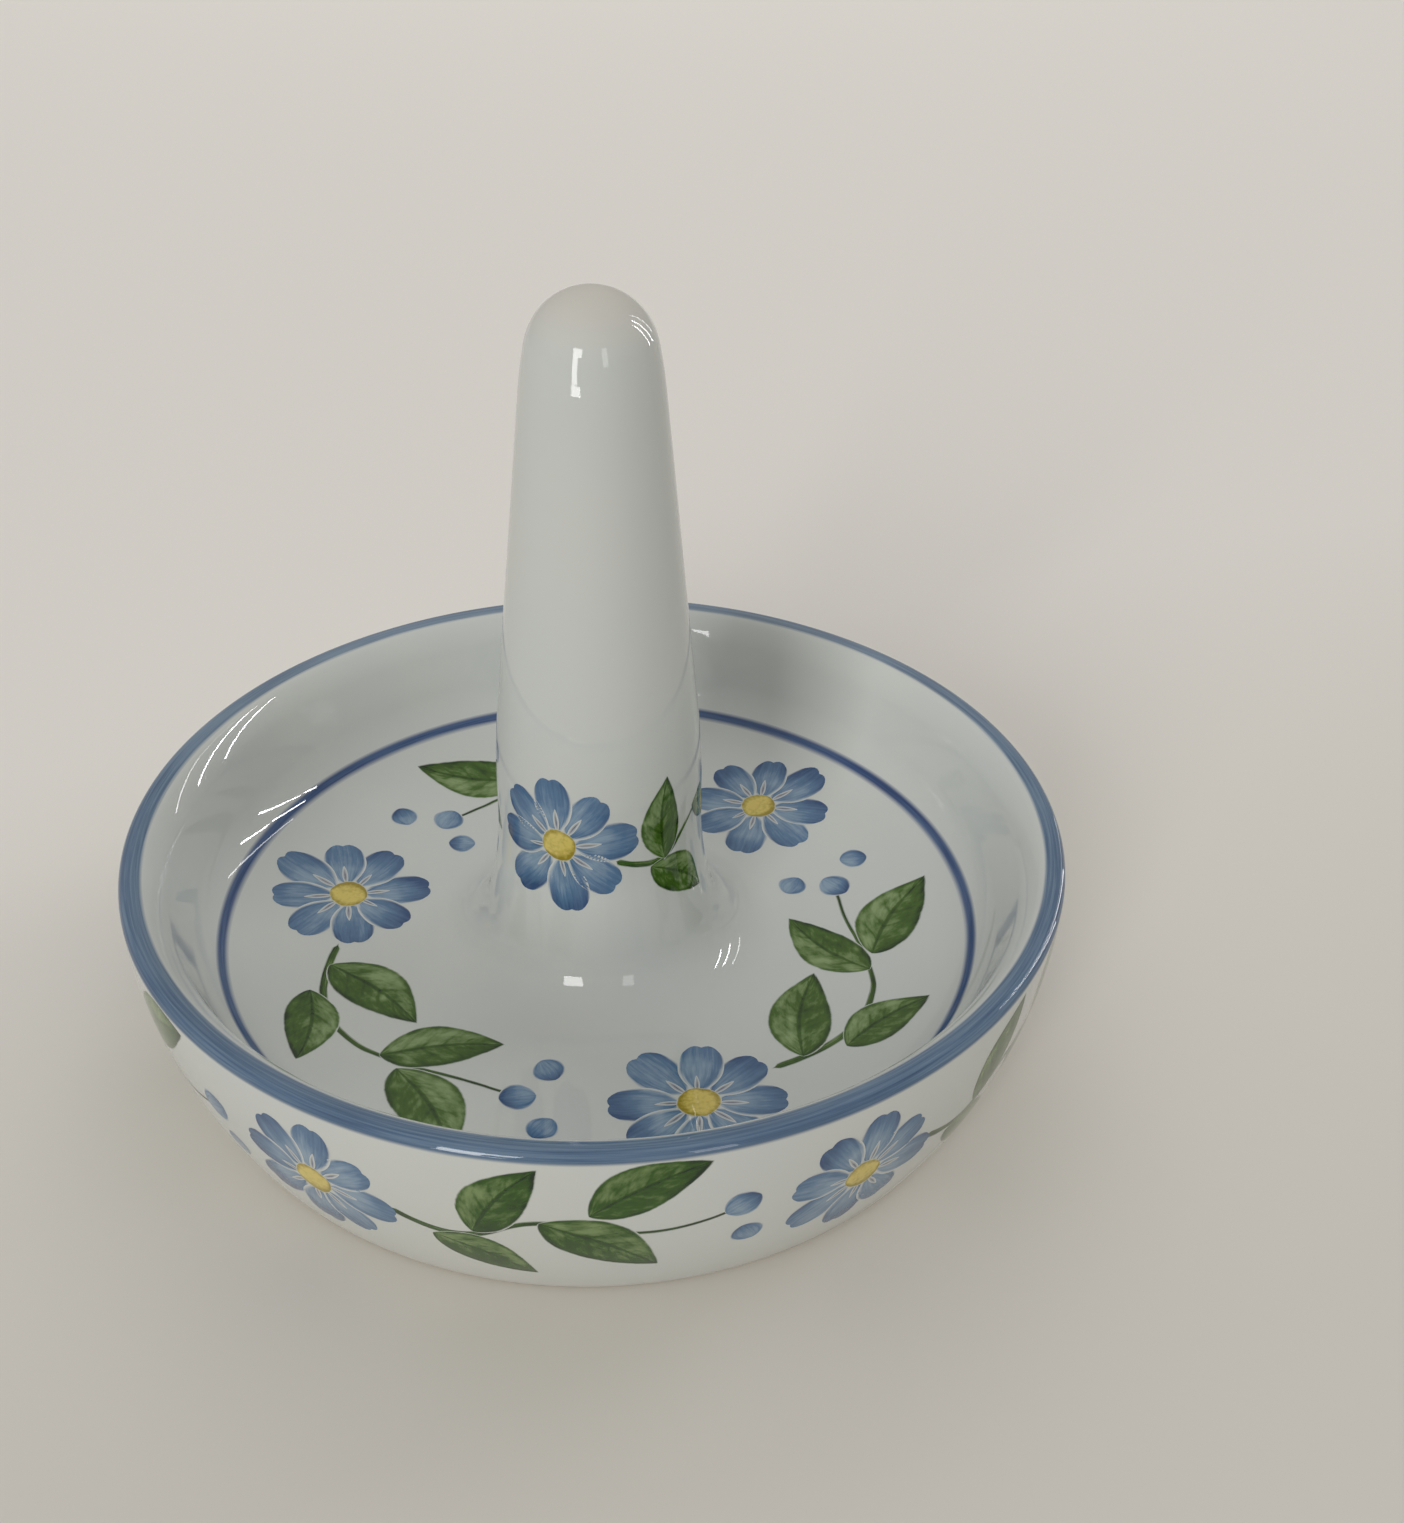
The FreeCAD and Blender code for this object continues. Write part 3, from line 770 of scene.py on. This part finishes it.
def lineFace():
    s = lineSettings
    cove = dishSettings["cove"]
    middle = math.degrees(math.asin((s["radius"] - coveCentre[0]) / cove))
    half = math.degrees(s["width"] / 2 / cove)
    return faceOfArc(coveCentre, cove, -90 + middle - half, -90 + middle + half, s["steps"], -1)


rimBlue = makeBand("rimBlue", rimBandSettings)
lineBlue = makeBand("lineBlue", lineSettings)
rimPoints, rimLanes = bandOutline(rimBandFace())
linePoints, lineLanes = bandOutline(lineFace())
rimBand = turnPiece("rim_band", rimPoints, rimBlue, rimBandSettings["around"], rimLanes)
floorLine = turnPiece("floor_line", linePoints, lineBlue, lineSettings["around"], lineLanes)
print("bands painted")


# Painted sprays: flat motifs are drawn first, then laid on the glaze

petalSettings = {
    "pale": (0.266, 0.360, 0.456, 1),
    "mid": (0.108, 0.196, 0.318, 1),
    "deep": (0.038, 0.081, 0.188, 1),
    "ink": (0.020, 0.030, 0.120, 1),
    "edge": 0.30 * mm,  # how softly the colour ends
    "hairs": (2.2, 7.0),  # brush marks along and across a petal
    "wash": 330,  # clouds per metre
}
leafSettings = {
    "pale": (0.250, 0.345, 0.150, 1),
    "mid": (0.057, 0.126, 0.014, 1),
    "deep": (0.006, 0.030, 0.001, 1),
    "edge": 0.20 * mm,
    "hairs": (1.6, 3.0),
    "wash": 420,
    "veins": 6.0,
    "slant": 1.3,
}
# painted shade: the greens on the outside wall are painted darker, standing in for the dark surroundings
# that the wall mirrors
wallShadedLeafSettings = dict(leafSettings, pale=(0.190, 0.270, 0.100, 1), mid=(0.030, 0.092, 0.005, 1),
                        deep=(0.001, 0.020, 0.001, 1))
eyeSettings = {
    "pale": (0.700, 0.560, 0.150, 1),
    "deep": (0.330, 0.250, 0.030, 1),
    "edge": 0.12 * mm,
    "shade": (0.15 * mm, 0.75 * mm),  # darker near the edge
    "grain": 2600,  # grains per metre
}


def brushStrokes(tree, along, across, tone, lengthwise, crosswise):
    # hair marks that run along a stroke, different on every stroke
    shift = times(tree, tone, 37.0)
    lane = joinXyz(tree, times(tree, along, lengthwise), times(tree, across, crosswise), shift)
    return noise(tree, lane, 1.0, 4.0, 0.6)[0]


def softCover(tree, edge, softness, ragged):
    # full colour inside a stroke, feathering out to bare glaze at its edge
    return ease(tree, swing(tree, edge, ragged, 0.5, softness), 0.0, softness)


def strokeMarks(tree):
    return [attribute(tree, name) for name in ("along", "across", "edge")]


def strokeTone(tree):
    both = plus(tree, attribute(tree, "tone"), attribute(tree, "copyTone"))
    return calc(tree, "FRACT", both)


def makePetalWash():
    s = petalSettings
    material, tree, shader = newFinish("petalWash")
    along, across, edge = strokeMarks(tree)
    tone = strokeTone(tree)
    hair = brushStrokes(tree, along, across, tone, *s["hairs"])
    wash = clouds(tree, s["wash"], 3.0)
    depth = times(tree, ease(tree, along, 0.35, 1.0), ease(tree, tone, 0.0, 1.0, 0.25, 0.75))
    side = times(tree, across, less(tree, tone, 0.5))
    depth = timesPlus(tree, side, 0.55, depth)
    depth = swing(tree, depth, hair, 0.42, 0.9)
    depth = swing(tree, depth, wash, 0.42, 0.8)
    depth = plus(tree, depth, ease(tree, edge, s["edge"], s["edge"] * 3.2, 0.16, 0.0))
    colour = mixColour(tree, attribute(tree, "ink"), threeTones(tree, depth, s, 0.42), s["ink"])
    finishWash(tree, shader, softCover(tree, edge, s["edge"], hair), colour)
    return material


def makeLeafWash(name, s):
    material, tree, shader = newFinish(name)
    along, across, edge = strokeMarks(tree)
    tone = strokeTone(tree)
    spread = calc(tree, "ABSOLUTE", across)
    # side veins leave the midrib at a slant
    slant = less(tree, times(tree, along, s["veins"]), times(tree, spread, s["slant"]))
    hair = brushStrokes(tree, slant, across, tone, *s["hairs"])
    wash = clouds(tree, s["wash"], 3.0)
    rib = ease(tree, spread, 0.02, 0.10, 1.0, 0.0)
    vein = ease(tree, calc(tree, "PINGPONG", slant, 0.5), 0.0, 0.16, 1.0, 0.0)
    vein = times(tree, vein, ease(tree, spread, 0.25, 0.9, 1.0, 0.0))
    light = ease(tree, across, -0.6, 0.5)
    depth = swing(tree, 0.50, hair, 0.5, 1.1)
    depth = swing(tree, depth, wash, 0.5, 1.0)
    for mark, weight in ((light, -0.30), (rib, 0.35), (vein, 0.14)):
        depth = timesPlus(tree, mark, weight, depth)
    depth = plus(tree, depth, ease(tree, edge, s["edge"], s["edge"] * 3.5, 0.28, 0.0))
    depth = plus(tree, depth, ease(tree, along, 0.7, 1.0, 0.0, 0.25))
    finishWash(tree, shader, softCover(tree, edge, s["edge"], hair), threeTones(tree, depth, s, 0.45))
    return material


def makeEyeWash():
    s = eyeSettings
    material, tree, shader = newFinish("eyeWash")
    along, across, edge = strokeMarks(tree)
    grain = clouds(tree, s["grain"], 2.0)
    depth = ease(tree, edge, *s["shade"], 0.75, 0.0)
    depth = plus(tree, depth, ease(tree, across, -1.0, 0.4, 0.35, 0.0))
    depth = swing(tree, depth, grain, 0.5, 1.4)
    colour = mixColour(tree, depth, s["pale"], s["deep"])
    finishWash(tree, shader, softCover(tree, edge, s["edge"], grain), colour)
    return material


# A fan of brush strokes: petals, leaves, berries and the short ink marks are all one of these

strokeSettings = {
    "overlap": 0.0012 * mm,  # each stroke lies a little above the one before
    "weld": 0.002 * mm,
}
# what a stroke is when its own settings don't say otherwise
plainStroke = {"count": 1, "open": 0.0, "blunt": 0.0, "notch": 0.0, "ring": 0.0, "bend": 0.0, "vary": 0.0,
               "ink": 0.0, "seed": 0}


def strokeGrid(tree, rows, columns):
    # a flat strip that runs from 0 to 1 along and from -1 to 1 across
    inputs = {"Size X": 1.0, "Size Y": 2.0, "Vertices X": rows, "Vertices Y": columns}
    x, across, flat = splitXyz(tree, here(tree))
    return feed(tree, "GeometryNodeMeshGrid", inputs), plus(tree, x, 0.5), across


def markStroke(tree, stroke, **marks):
    for name, value in marks.items():
        stroke = store(tree, stroke, name, value)
    return stroke


def chance(tree, low, high, seed):
    inputs = {2: low, 3: high, "ID": rank(tree), "Seed": seed}
    return put(tree, "FunctionNodeRandomValue", inputs, data_type="FLOAT").outputs[1]


def copyOnto(tree, points, motif, turn, size):
    facing = feed(tree, "FunctionNodeEulerToRotation", [joinXyz(tree, 0.0, 0.0, turn)])
    inputs = {"Points": points, "Instance": motif, "Rotation": facing,
              "Scale": joinXyz(tree, size, size, 1.0)}
    return feed(tree, "GeometryNodeInstanceOnPoints", inputs)


def fanTree():
    sizes = ("length", "width", "fullness", "roundness", "open", "blunt", "notch", "ring", "bend", "vary",
             "height", "ink")
    inputs = [("count", "Int"), ("seed", "Int")] + [(label, "Float") for label in sizes]
    tree, given = newTree("fanTree", inputs)
    grid, way, across = strokeGrid(tree, 25, 13)
    wave = calc(tree, "COSINE", times(tree, way, math.pi))
    along = timesPlus(tree, wave, -0.5, 0.5)
    # an open stroke stops at its widest part, a closed one runs to a point
    phase = times(tree, calc(tree, "POWER", along, given["fullness"]), math.pi)
    phase = times(tree, phase, timesPlus(tree, given["open"], -0.5, 1.0))
    swell = calc(tree, "POWER", calc(tree, "MAXIMUM", calc(tree, "SINE", phase), 0.0), given["roundness"])
    half = times(tree, swell, times(tree, given["width"], 0.5))
    spread = calc(tree, "ABSOLUTE", across)
    inner = less(tree, 1.0, spread)
    blunt = times(tree, given["blunt"], -1.0)
    notch = times(tree, calc(tree, "POWER", inner, 3.0), given["notch"])
    crown = timesPlus(tree, calc(tree, "POWER", spread, 2.6), blunt, 1.0)
    crown = less(tree, crown, notch)
    reach = times(tree, times(tree, along, crown), given["length"])
    bow = times(tree, calc(tree, "SINE", times(tree, along, math.pi)), given["bend"])
    place = joinXyz(tree, plus(tree, reach, given["ring"]), timesPlus(tree, half, across, bow), 0.0)
    tipGap = times(tree, less(tree, 1.0, along), given["length"])
    tipGap = plus(tree, tipGap, less(tree, 1.0, given["open"]))
    edge = calc(tree, "MINIMUM", times(tree, half, inner), tipGap)
    stroke = markStroke(tree, grid, edge=edge, along=along, across=across)
    stroke = weld(tree, setPlace(tree, stroke, Position=place), strokeSettings["weld"])

    def luck(low, high, shift):
        return chance(tree, low, high, plus(tree, given["seed"], shift))

    index = rank(tree)
    centred = less(tree, index, timesPlus(tree, given["count"], 0.5, -0.5))
    turn = times(tree, centred, calc(tree, "DIVIDE", 2 * math.pi, given["count"]))
    turn = timesPlus(tree, luck(-0.5, 0.5, 1), given["vary"], turn)
    size = timesPlus(tree, luck(-0.7, 0.7, 2), given["vary"], 1.0)
    layer = timesPlus(tree, index, strokeSettings["overlap"], given["height"])
    spots = {"Count": given["count"], "Position": joinXyz(tree, 0.0, 0.0, layer)}
    copies = copyOnto(tree, feed(tree, "GeometryNodePoints", spots), stroke, turn, size)
    copies = store(tree, copies, "tone", luck(0.0, 1.0, 3), domain="INSTANCE")
    copies = store(tree, copies, "ink", given["ink"], domain="INSTANCE")
    put(tree, "NodeGroupOutput", [realize(tree, copies)])
    return tree


# A stem follows a curve, thin at its far end

def stemTree():
    tree, given = newTree("stemTree", [(label, "Float") for label in ("width", "taper", "height")])
    grid, along, across = strokeGrid(tree, 81, 7)
    inputs = {"Curves": given["Geometry"], "Factor": along}
    route = put(tree, "GeometryNodeSampleCurve", inputs, mode="FACTOR").outputs
    narrow = ease(tree, along, 0.0, 1.0, 0.5, times(tree, given["taper"], 0.5))
    half = times(tree, given["width"], narrow)
    ends = times(tree, ease(tree, along, 0.0, 0.03), ease(tree, along, 0.97, 1.0, 1.0, 0.0))
    half = times(tree, half, calc(tree, "MAXIMUM", ends, 0.05))
    ahead = splitXyz(tree, route["Tangent"])
    aside = joinXyz(tree, times(tree, ahead[1], -1.0), ahead[0], 0.0)
    aside = scaled(tree, aside, times(tree, half, across))
    place = vecCalc(tree, "ADD", route["Position"], aside)
    place = vecCalc(tree, "ADD", place, joinXyz(tree, 0.0, 0.0, given["height"]))
    inner = less(tree, 1.0, calc(tree, "ABSOLUTE", across))
    edge = times(tree, half, inner)
    strip = markStroke(tree, grid, edge=edge, along=along, across=across, tone=0.4)
    put(tree, "NodeGroupOutput", [setPlace(tree, strip, Position=place)])
    return tree


# Lays copies of a motif on a turned piece: flat ones drop straight down, round ones wrap about the axis

laySettings = {
    "reach": 0.2,  # metres from which a motif drops on its carrier
    "tremble": 0.3 * mm,  # the painter's hand never draws the same outline twice
    "waves": 260.0,  # per metre
    "film": 0.03 * mm,
}


def layTree():
    s = laySettings
    inputs = [("Motif", "Object"), ("Carrier", "Object"), ("Round", "Bool"), ("Girth", "Float"),
              ("Seed", "Int"), ("Material", "Material")]
    tree, given = newTree("layTree", inputs)
    motif, carrier = (put(tree, "GeometryNodeObjectInfo", [given[label]]).outputs["Geometry"]
                      for label in ("Motif", "Carrier"))
    copies = copyOnto(tree, given["Geometry"], motif, named(tree, "turn"), named(tree, "size"))
    copies = store(tree, copies, "copyTone", chance(tree, 0.0, 1.0, given["Seed"]), domain="INSTANCE")
    push = vecCalc(tree, "MULTIPLY", drift(tree, s["waves"], 2.0), (1.0, 1.0, 0.0))
    flat = setPlace(tree, realize(tree, copies), Offset=scaled(tree, push, s["tremble"]))
    x, y, height = splitXyz(tree, here(tree))
    angle = calc(tree, "DIVIDE", x, given["Girth"])
    out = joinXyz(tree, calc(tree, "COSINE", angle), calc(tree, "SINE", angle), 0.0)
    high = joinXyz(tree, x, y, s["reach"])
    far = vecCalc(tree, "ADD", scaled(tree, out, s["reach"]), joinXyz(tree, 0.0, 0.0, y))

    def either(onFlat, onRound):
        inputs = [given["Round"], onFlat, onRound]
        return feed(tree, "GeometryNodeSwitch", inputs, input_type="VECTOR")

    inputs = {"Target Geometry": carrier, "Attribute": named(tree, "skin", "FLOAT_VECTOR"),
              "Source Position": either(high, far),
              "Ray Direction": either((0.0, 0.0, -1.0), scaled(tree, out, -1.0)), "Ray Length": 1.0}
    ray = put(tree, "GeometryNodeRaycast", inputs, data_type="FLOAT_VECTOR").outputs
    skin = vecCalc(tree, "NORMALIZE", ray["Attribute"])
    laid = store(tree, flat, "skin", skin, "FLOAT_VECTOR")
    raised = vecCalc(tree, "ADD", ray["Hit Position"], scaled(tree, skin, height))
    finishTree(tree, setPlace(tree, laid, Position=raised), given["Material"])
    return tree


fan, stem, lay = fanTree(), stemTree(), layTree()


def drawFan(name, s):
    return grow(name, bpy.data.meshes.new(name), fan, {**plainStroke, **s})


def drawStem(name, s):
    curve = bpy.data.curves.new(name, "CURVE")
    curve.dimensions = "3D"
    curve.resolution_u = 24
    spline = curve.splines.new("NURBS")
    spline.points.add(len(s["points"]) - 1)
    for spot, (x, y) in zip(spline.points, s["points"]):
        spot.co = (x, y, 0.0, 1.0)
    spline.order_u = 3
    spline.use_endpoint_u = True
    return grow(name, curve, stem, {label: s[label] for label in ("width", "taper", "height")})


def layMotif(name, motif, carrier, places, material, girth, seed):
    # places holds (x, y, turn, size); on a round carrier x runs round it and y up it
    mesh = bpy.data.meshes.new(name)
    mesh.from_pydata([(x, y, 0.0) for x, y, turn, size in places], [], [])
    for label, column in (("turn", 2), ("size", 3)):
        row = [place[column] for place in places]
        mesh.attributes.new(label, "FLOAT", "POINT").data.foreach_set("value", row)
    values = {"Motif": motif, "Carrier": carrier, "Round": girth > 0, "Girth": girth or 1.0, "Seed": seed,
              "Material": material}
    piece = grow(name, mesh, lay, values, laySettings["film"])
    # the film takes the glaze's own normals, so that highlights cross it unbroken
    skin = piece.data.attributes["skin"].data
    normals = []
    for vertex, mark in zip(piece.data.vertices, skin):
        facing = Vector(mark.vector)
        normals.append(facing if facing.dot(vertex.normal) >= 0 else -facing)
    piece.data.normals_split_custom_set_from_vertices(normals)
    return piece


layers = {"stem": 0.006 * mm, "leaf": 0.009 * mm, "petal": 0.012 * mm, "ink": 0.024 * mm, "eye": 0.036 * mm}
petalShape = {
    "count": 8, "length": 5.2 * mm, "width": 3.5 * mm, "fullness": 0.85, "roundness": 0.8, "open": 0.72,
    "blunt": 0.26, "notch": 0.06, "ring": 1.15 * mm, "vary": 0.13, "height": layers["petal"], "seed": 4,
}
markShape = {
    "count": 8, "length": 1.9 * mm, "width": 0.42 * mm, "fullness": 0.8, "roundness": 0.7, "ring": 1.2 * mm,
    "vary": 0.22, "height": layers["ink"], "ink": 1.0, "seed": 9,
}
eyeShape = {
    "length": 2.9 * mm, "width": 3.1 * mm, "fullness": 1.0, "roundness": 0.5, "ring": -1.45 * mm,
    "height": layers["eye"],
}
berryShape = dict(eyeShape, height=layers["petal"])
leafShape = {
    "length": 10.5 * mm, "width": 5.3 * mm, "fullness": 0.78, "roundness": 0.86, "bend": 0.7 * mm,
    "height": layers["leaf"],
}


def at(x, y):
    # both in millimetres
    return (x * mm, y * mm)


def polar(angle, millimetres):
    radius = millimetres * mm
    return (radius * math.cos(math.radians(angle)), radius * math.sin(math.radians(angle)))


def spin(places, count, phase):
    # the same places again in each sector of the floor
    every = []
    for i in range(count):
        turn = math.radians(phase + 360 * i / count)
        for x, y, facing, size in places:
            every.append((x * math.cos(turn) - y * math.sin(turn), x * math.sin(turn) + y * math.cos(turn),
                          facing + turn, size))
    return every


def march(places, count, phase, girth):
    # the same places again along the way round a wall
    steps = [girth * math.radians(phase + 360 * i / count) for i in range(count)]
    return [(x + step, y, facing, size) for step in steps for x, y, facing, size in places]


def leafAt(point, facing, size):
    return (point[0], point[1], math.radians(facing), size)


# Floor: a wreath of three sectors, angles measured from each blossom
floorSpray = {
    "count": 3, "phase": 168,
    "blossom": [leafAt(polar(0, 26.5), 0, 1.30)],
    "stem": [polar(17, 26.0), polar(30, 28.6), polar(46, 28.9), polar(58, 26.8),
             polar(72, 24.6), polar(83, 24.8)],
    "leaves": [leafAt(polar(24, 26.9), 150, 1.16), leafAt(polar(31, 29.2), 104, 0.98),
               leafAt(polar(54, 27.3), 200, 1.08), leafAt(polar(59, 27.2), 128, 1.22)],
    "berries": [leafAt(polar(84, 24.9), 20, 1.15), leafAt(polar(91, 28.4), 70, 1.0),
                leafAt(polar(88, 20.8), 130, 1.0)],
    "stemWidth": 0.95 * mm,
}
# Post: a blossom on either side at one height; x runs round it
postSpray = {
    "count": 2, "phase": 247, "height": 22.6 * mm, "girth": postSettings["barrel"],
    "blossom": [(0.0, 0.0, 0.5, 1.14)],
    "stem": [at(5.2, -1.4), at(9.5, -3.6), at(13.6, 0.8), at(17.8, 2.4)],
    "leaves": [leafAt(at(8.6, -2.9), -40, 0.80), leafAt(at(10.2, -2.6), 88, 0.84),
               leafAt(at(14.2, 1.2), -24, 0.84)],
    "berries": [leafAt(at(18.2, 2.7), 40, 0.95), leafAt(at(20.6, 5.6), 40, 0.85)],
    "stemWidth": 0.85 * mm,
}
# Wall: six blossoms with a sprig between each two
wallSpray = {
    "count": 6, "phase": 238, "height": 11.2 * mm, "girth": rimRadius - 0.7 * mm,
    "blossom": [(0.0, 0.0, 0.2, 1.15)],
    "stem": [at(6.8, 0.2), at(12, -3.0), at(19, 2.6), at(28, -1.2),
             at(34, 1.4)],
    "leaves": [leafAt(at(10.2, -2.2), -32, 0.92), leafAt(at(13.7, -0.8), 58, 0.98),
               leafAt(at(19.0, 1.4), -38, 1.12), leafAt(at(22.8, 2.5), 30, 1.02)],
    "berries": [leafAt(at(34.6, 1.7), 30, 1.1), leafAt(at(35.4, -2.8), 120, 0.95)],
    "stemWidth": 0.95 * mm,
}
petalWash, eyeWash = makePetalWash(), makeEyeWash()
leafWash = makeLeafWash("leafWash", leafSettings)
# darker greens for the outside wall, a painted shade
wallShadedLeafWash = makeLeafWash("wallShadedLeafWash", wallShadedLeafSettings)
paintedPieces = []


def paintSpray(where, s, carrier, greens):
    girth = s.get("girth", 0.0)

    def everywhere(places):
        if not girth:
            return spin(places, s["count"], s["phase"])
        raised = [(x, y + s["height"], facing, size) for x, y, facing, size in places]
        return march(raised, s["count"], s["phase"], girth)

    whole = [(0.0, 0.0, 0.0, 1.0)]
    stemShape = {"points": s["stem"], "width": s["stemWidth"], "taper": 0.55, "height": layers["stem"]}
    motifs = [("stems", drawStem("stemMotif", stemShape), whole, greens, "leaf_green"),
              ("leaves", drawFan("leafMotif", leafShape), s["leaves"], greens, "leaf_green"),
              ("petals", drawFan("petalMotif", petalShape), s["blossom"], petalWash, "petal_blue"),
              ("berries", drawFan("berryMotif", berryShape), s["berries"], petalWash, "petal_blue"),
              ("marks", drawFan("markMotif", markShape), s["blossom"], petalWash, "petal_blue"),
              ("eyes", drawFan("eyeMotif", eyeShape), s["blossom"], eyeWash, "eye_yellow")]
    for seed, (label, motif, places, wash, slot) in enumerate(motifs):
        piece = layMotif(where + "_" + label, motif, carrier, everywhere(places), wash, girth, seed)
        bpy.data.objects.remove(motif)
        paintedPieces.append((piece, slot))


paintSpray("floor", floorSpray, turnedDish, leafWash)
paintSpray("post", postSpray, fingerPost, leafWash)
paintSpray("wall", wallSpray, turnedDish, wallShadedLeafWash)
print("sprays painted")


# Stage: a pale table top, with painted light that makes it paler towards the back

tableSettings = {
    "radius": 3.0,
    "near": (0.718, 0.680, 0.612, 1),
    "far": (0.848, 0.812, 0.749, 1),
    "turn": 20,  # degrees; painted light: the table is painted paler towards the back and the left, darker towards the front
    "reach": (-0.060, 0.060),
    "patch": 9.0,  # cloudy patches per metre
    "cloud": 0.03,
    "rough": 0.9,
    "sides": 64,
}


def makeTable():
    s = tableSettings
    material, tree, shader = newFinish("paleTable")
    patch = clouds(tree, s["patch"], 3.0)
    turn = math.radians(s["turn"])
    # painted light and shade: the colour runs from darker near the front to paler far off
    depth = vecCalc(tree, "DOT_PRODUCT", objectPlace(tree), (-math.sin(turn), math.cos(turn), 0.0))
    depth = feed(tree, "ShaderNodeMapRange", [depth, *s["reach"], 0.0, 1.0])
    depth = swing(tree, depth, patch, 0.5, s["cloud"])
    tree.links.new(mixColour(tree, depth, s["near"], s["far"]), shader.inputs["Base Color"])
    shader.inputs["Roughness"].default_value = s["rough"]
    shader.inputs["Specular IOR Level"].default_value = 0.0  # matt, so that no lamp glares on it
    mesh = bpy.data.meshes.new("table")
    angles = [2 * math.pi * i / s["sides"] for i in range(s["sides"])]
    ring = [(s["radius"] * math.cos(a), s["radius"] * math.sin(a), 0.0) for a in angles]
    mesh.from_pydata(ring, [], [list(range(s["sides"]))])
    mesh.materials.append(material)
    table = bpy.data.objects.new("table", mesh)
    scene.collection.objects.link(table)


makeTable()

for piece, node, slot in ((turnedDish, "dish", "dish_glaze"), (fingerPost, "ring_post", "post_glaze"),
                          (slipFillet, "slip_bead", "slip_glaze")):
    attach(piece, "root")
    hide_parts(node)
for piece, slot in [(rimBand, "rim_blue"), (floorLine, "rim_blue")] + paintedPieces:
    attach(piece, "root")

print("pieces ride on the frame")
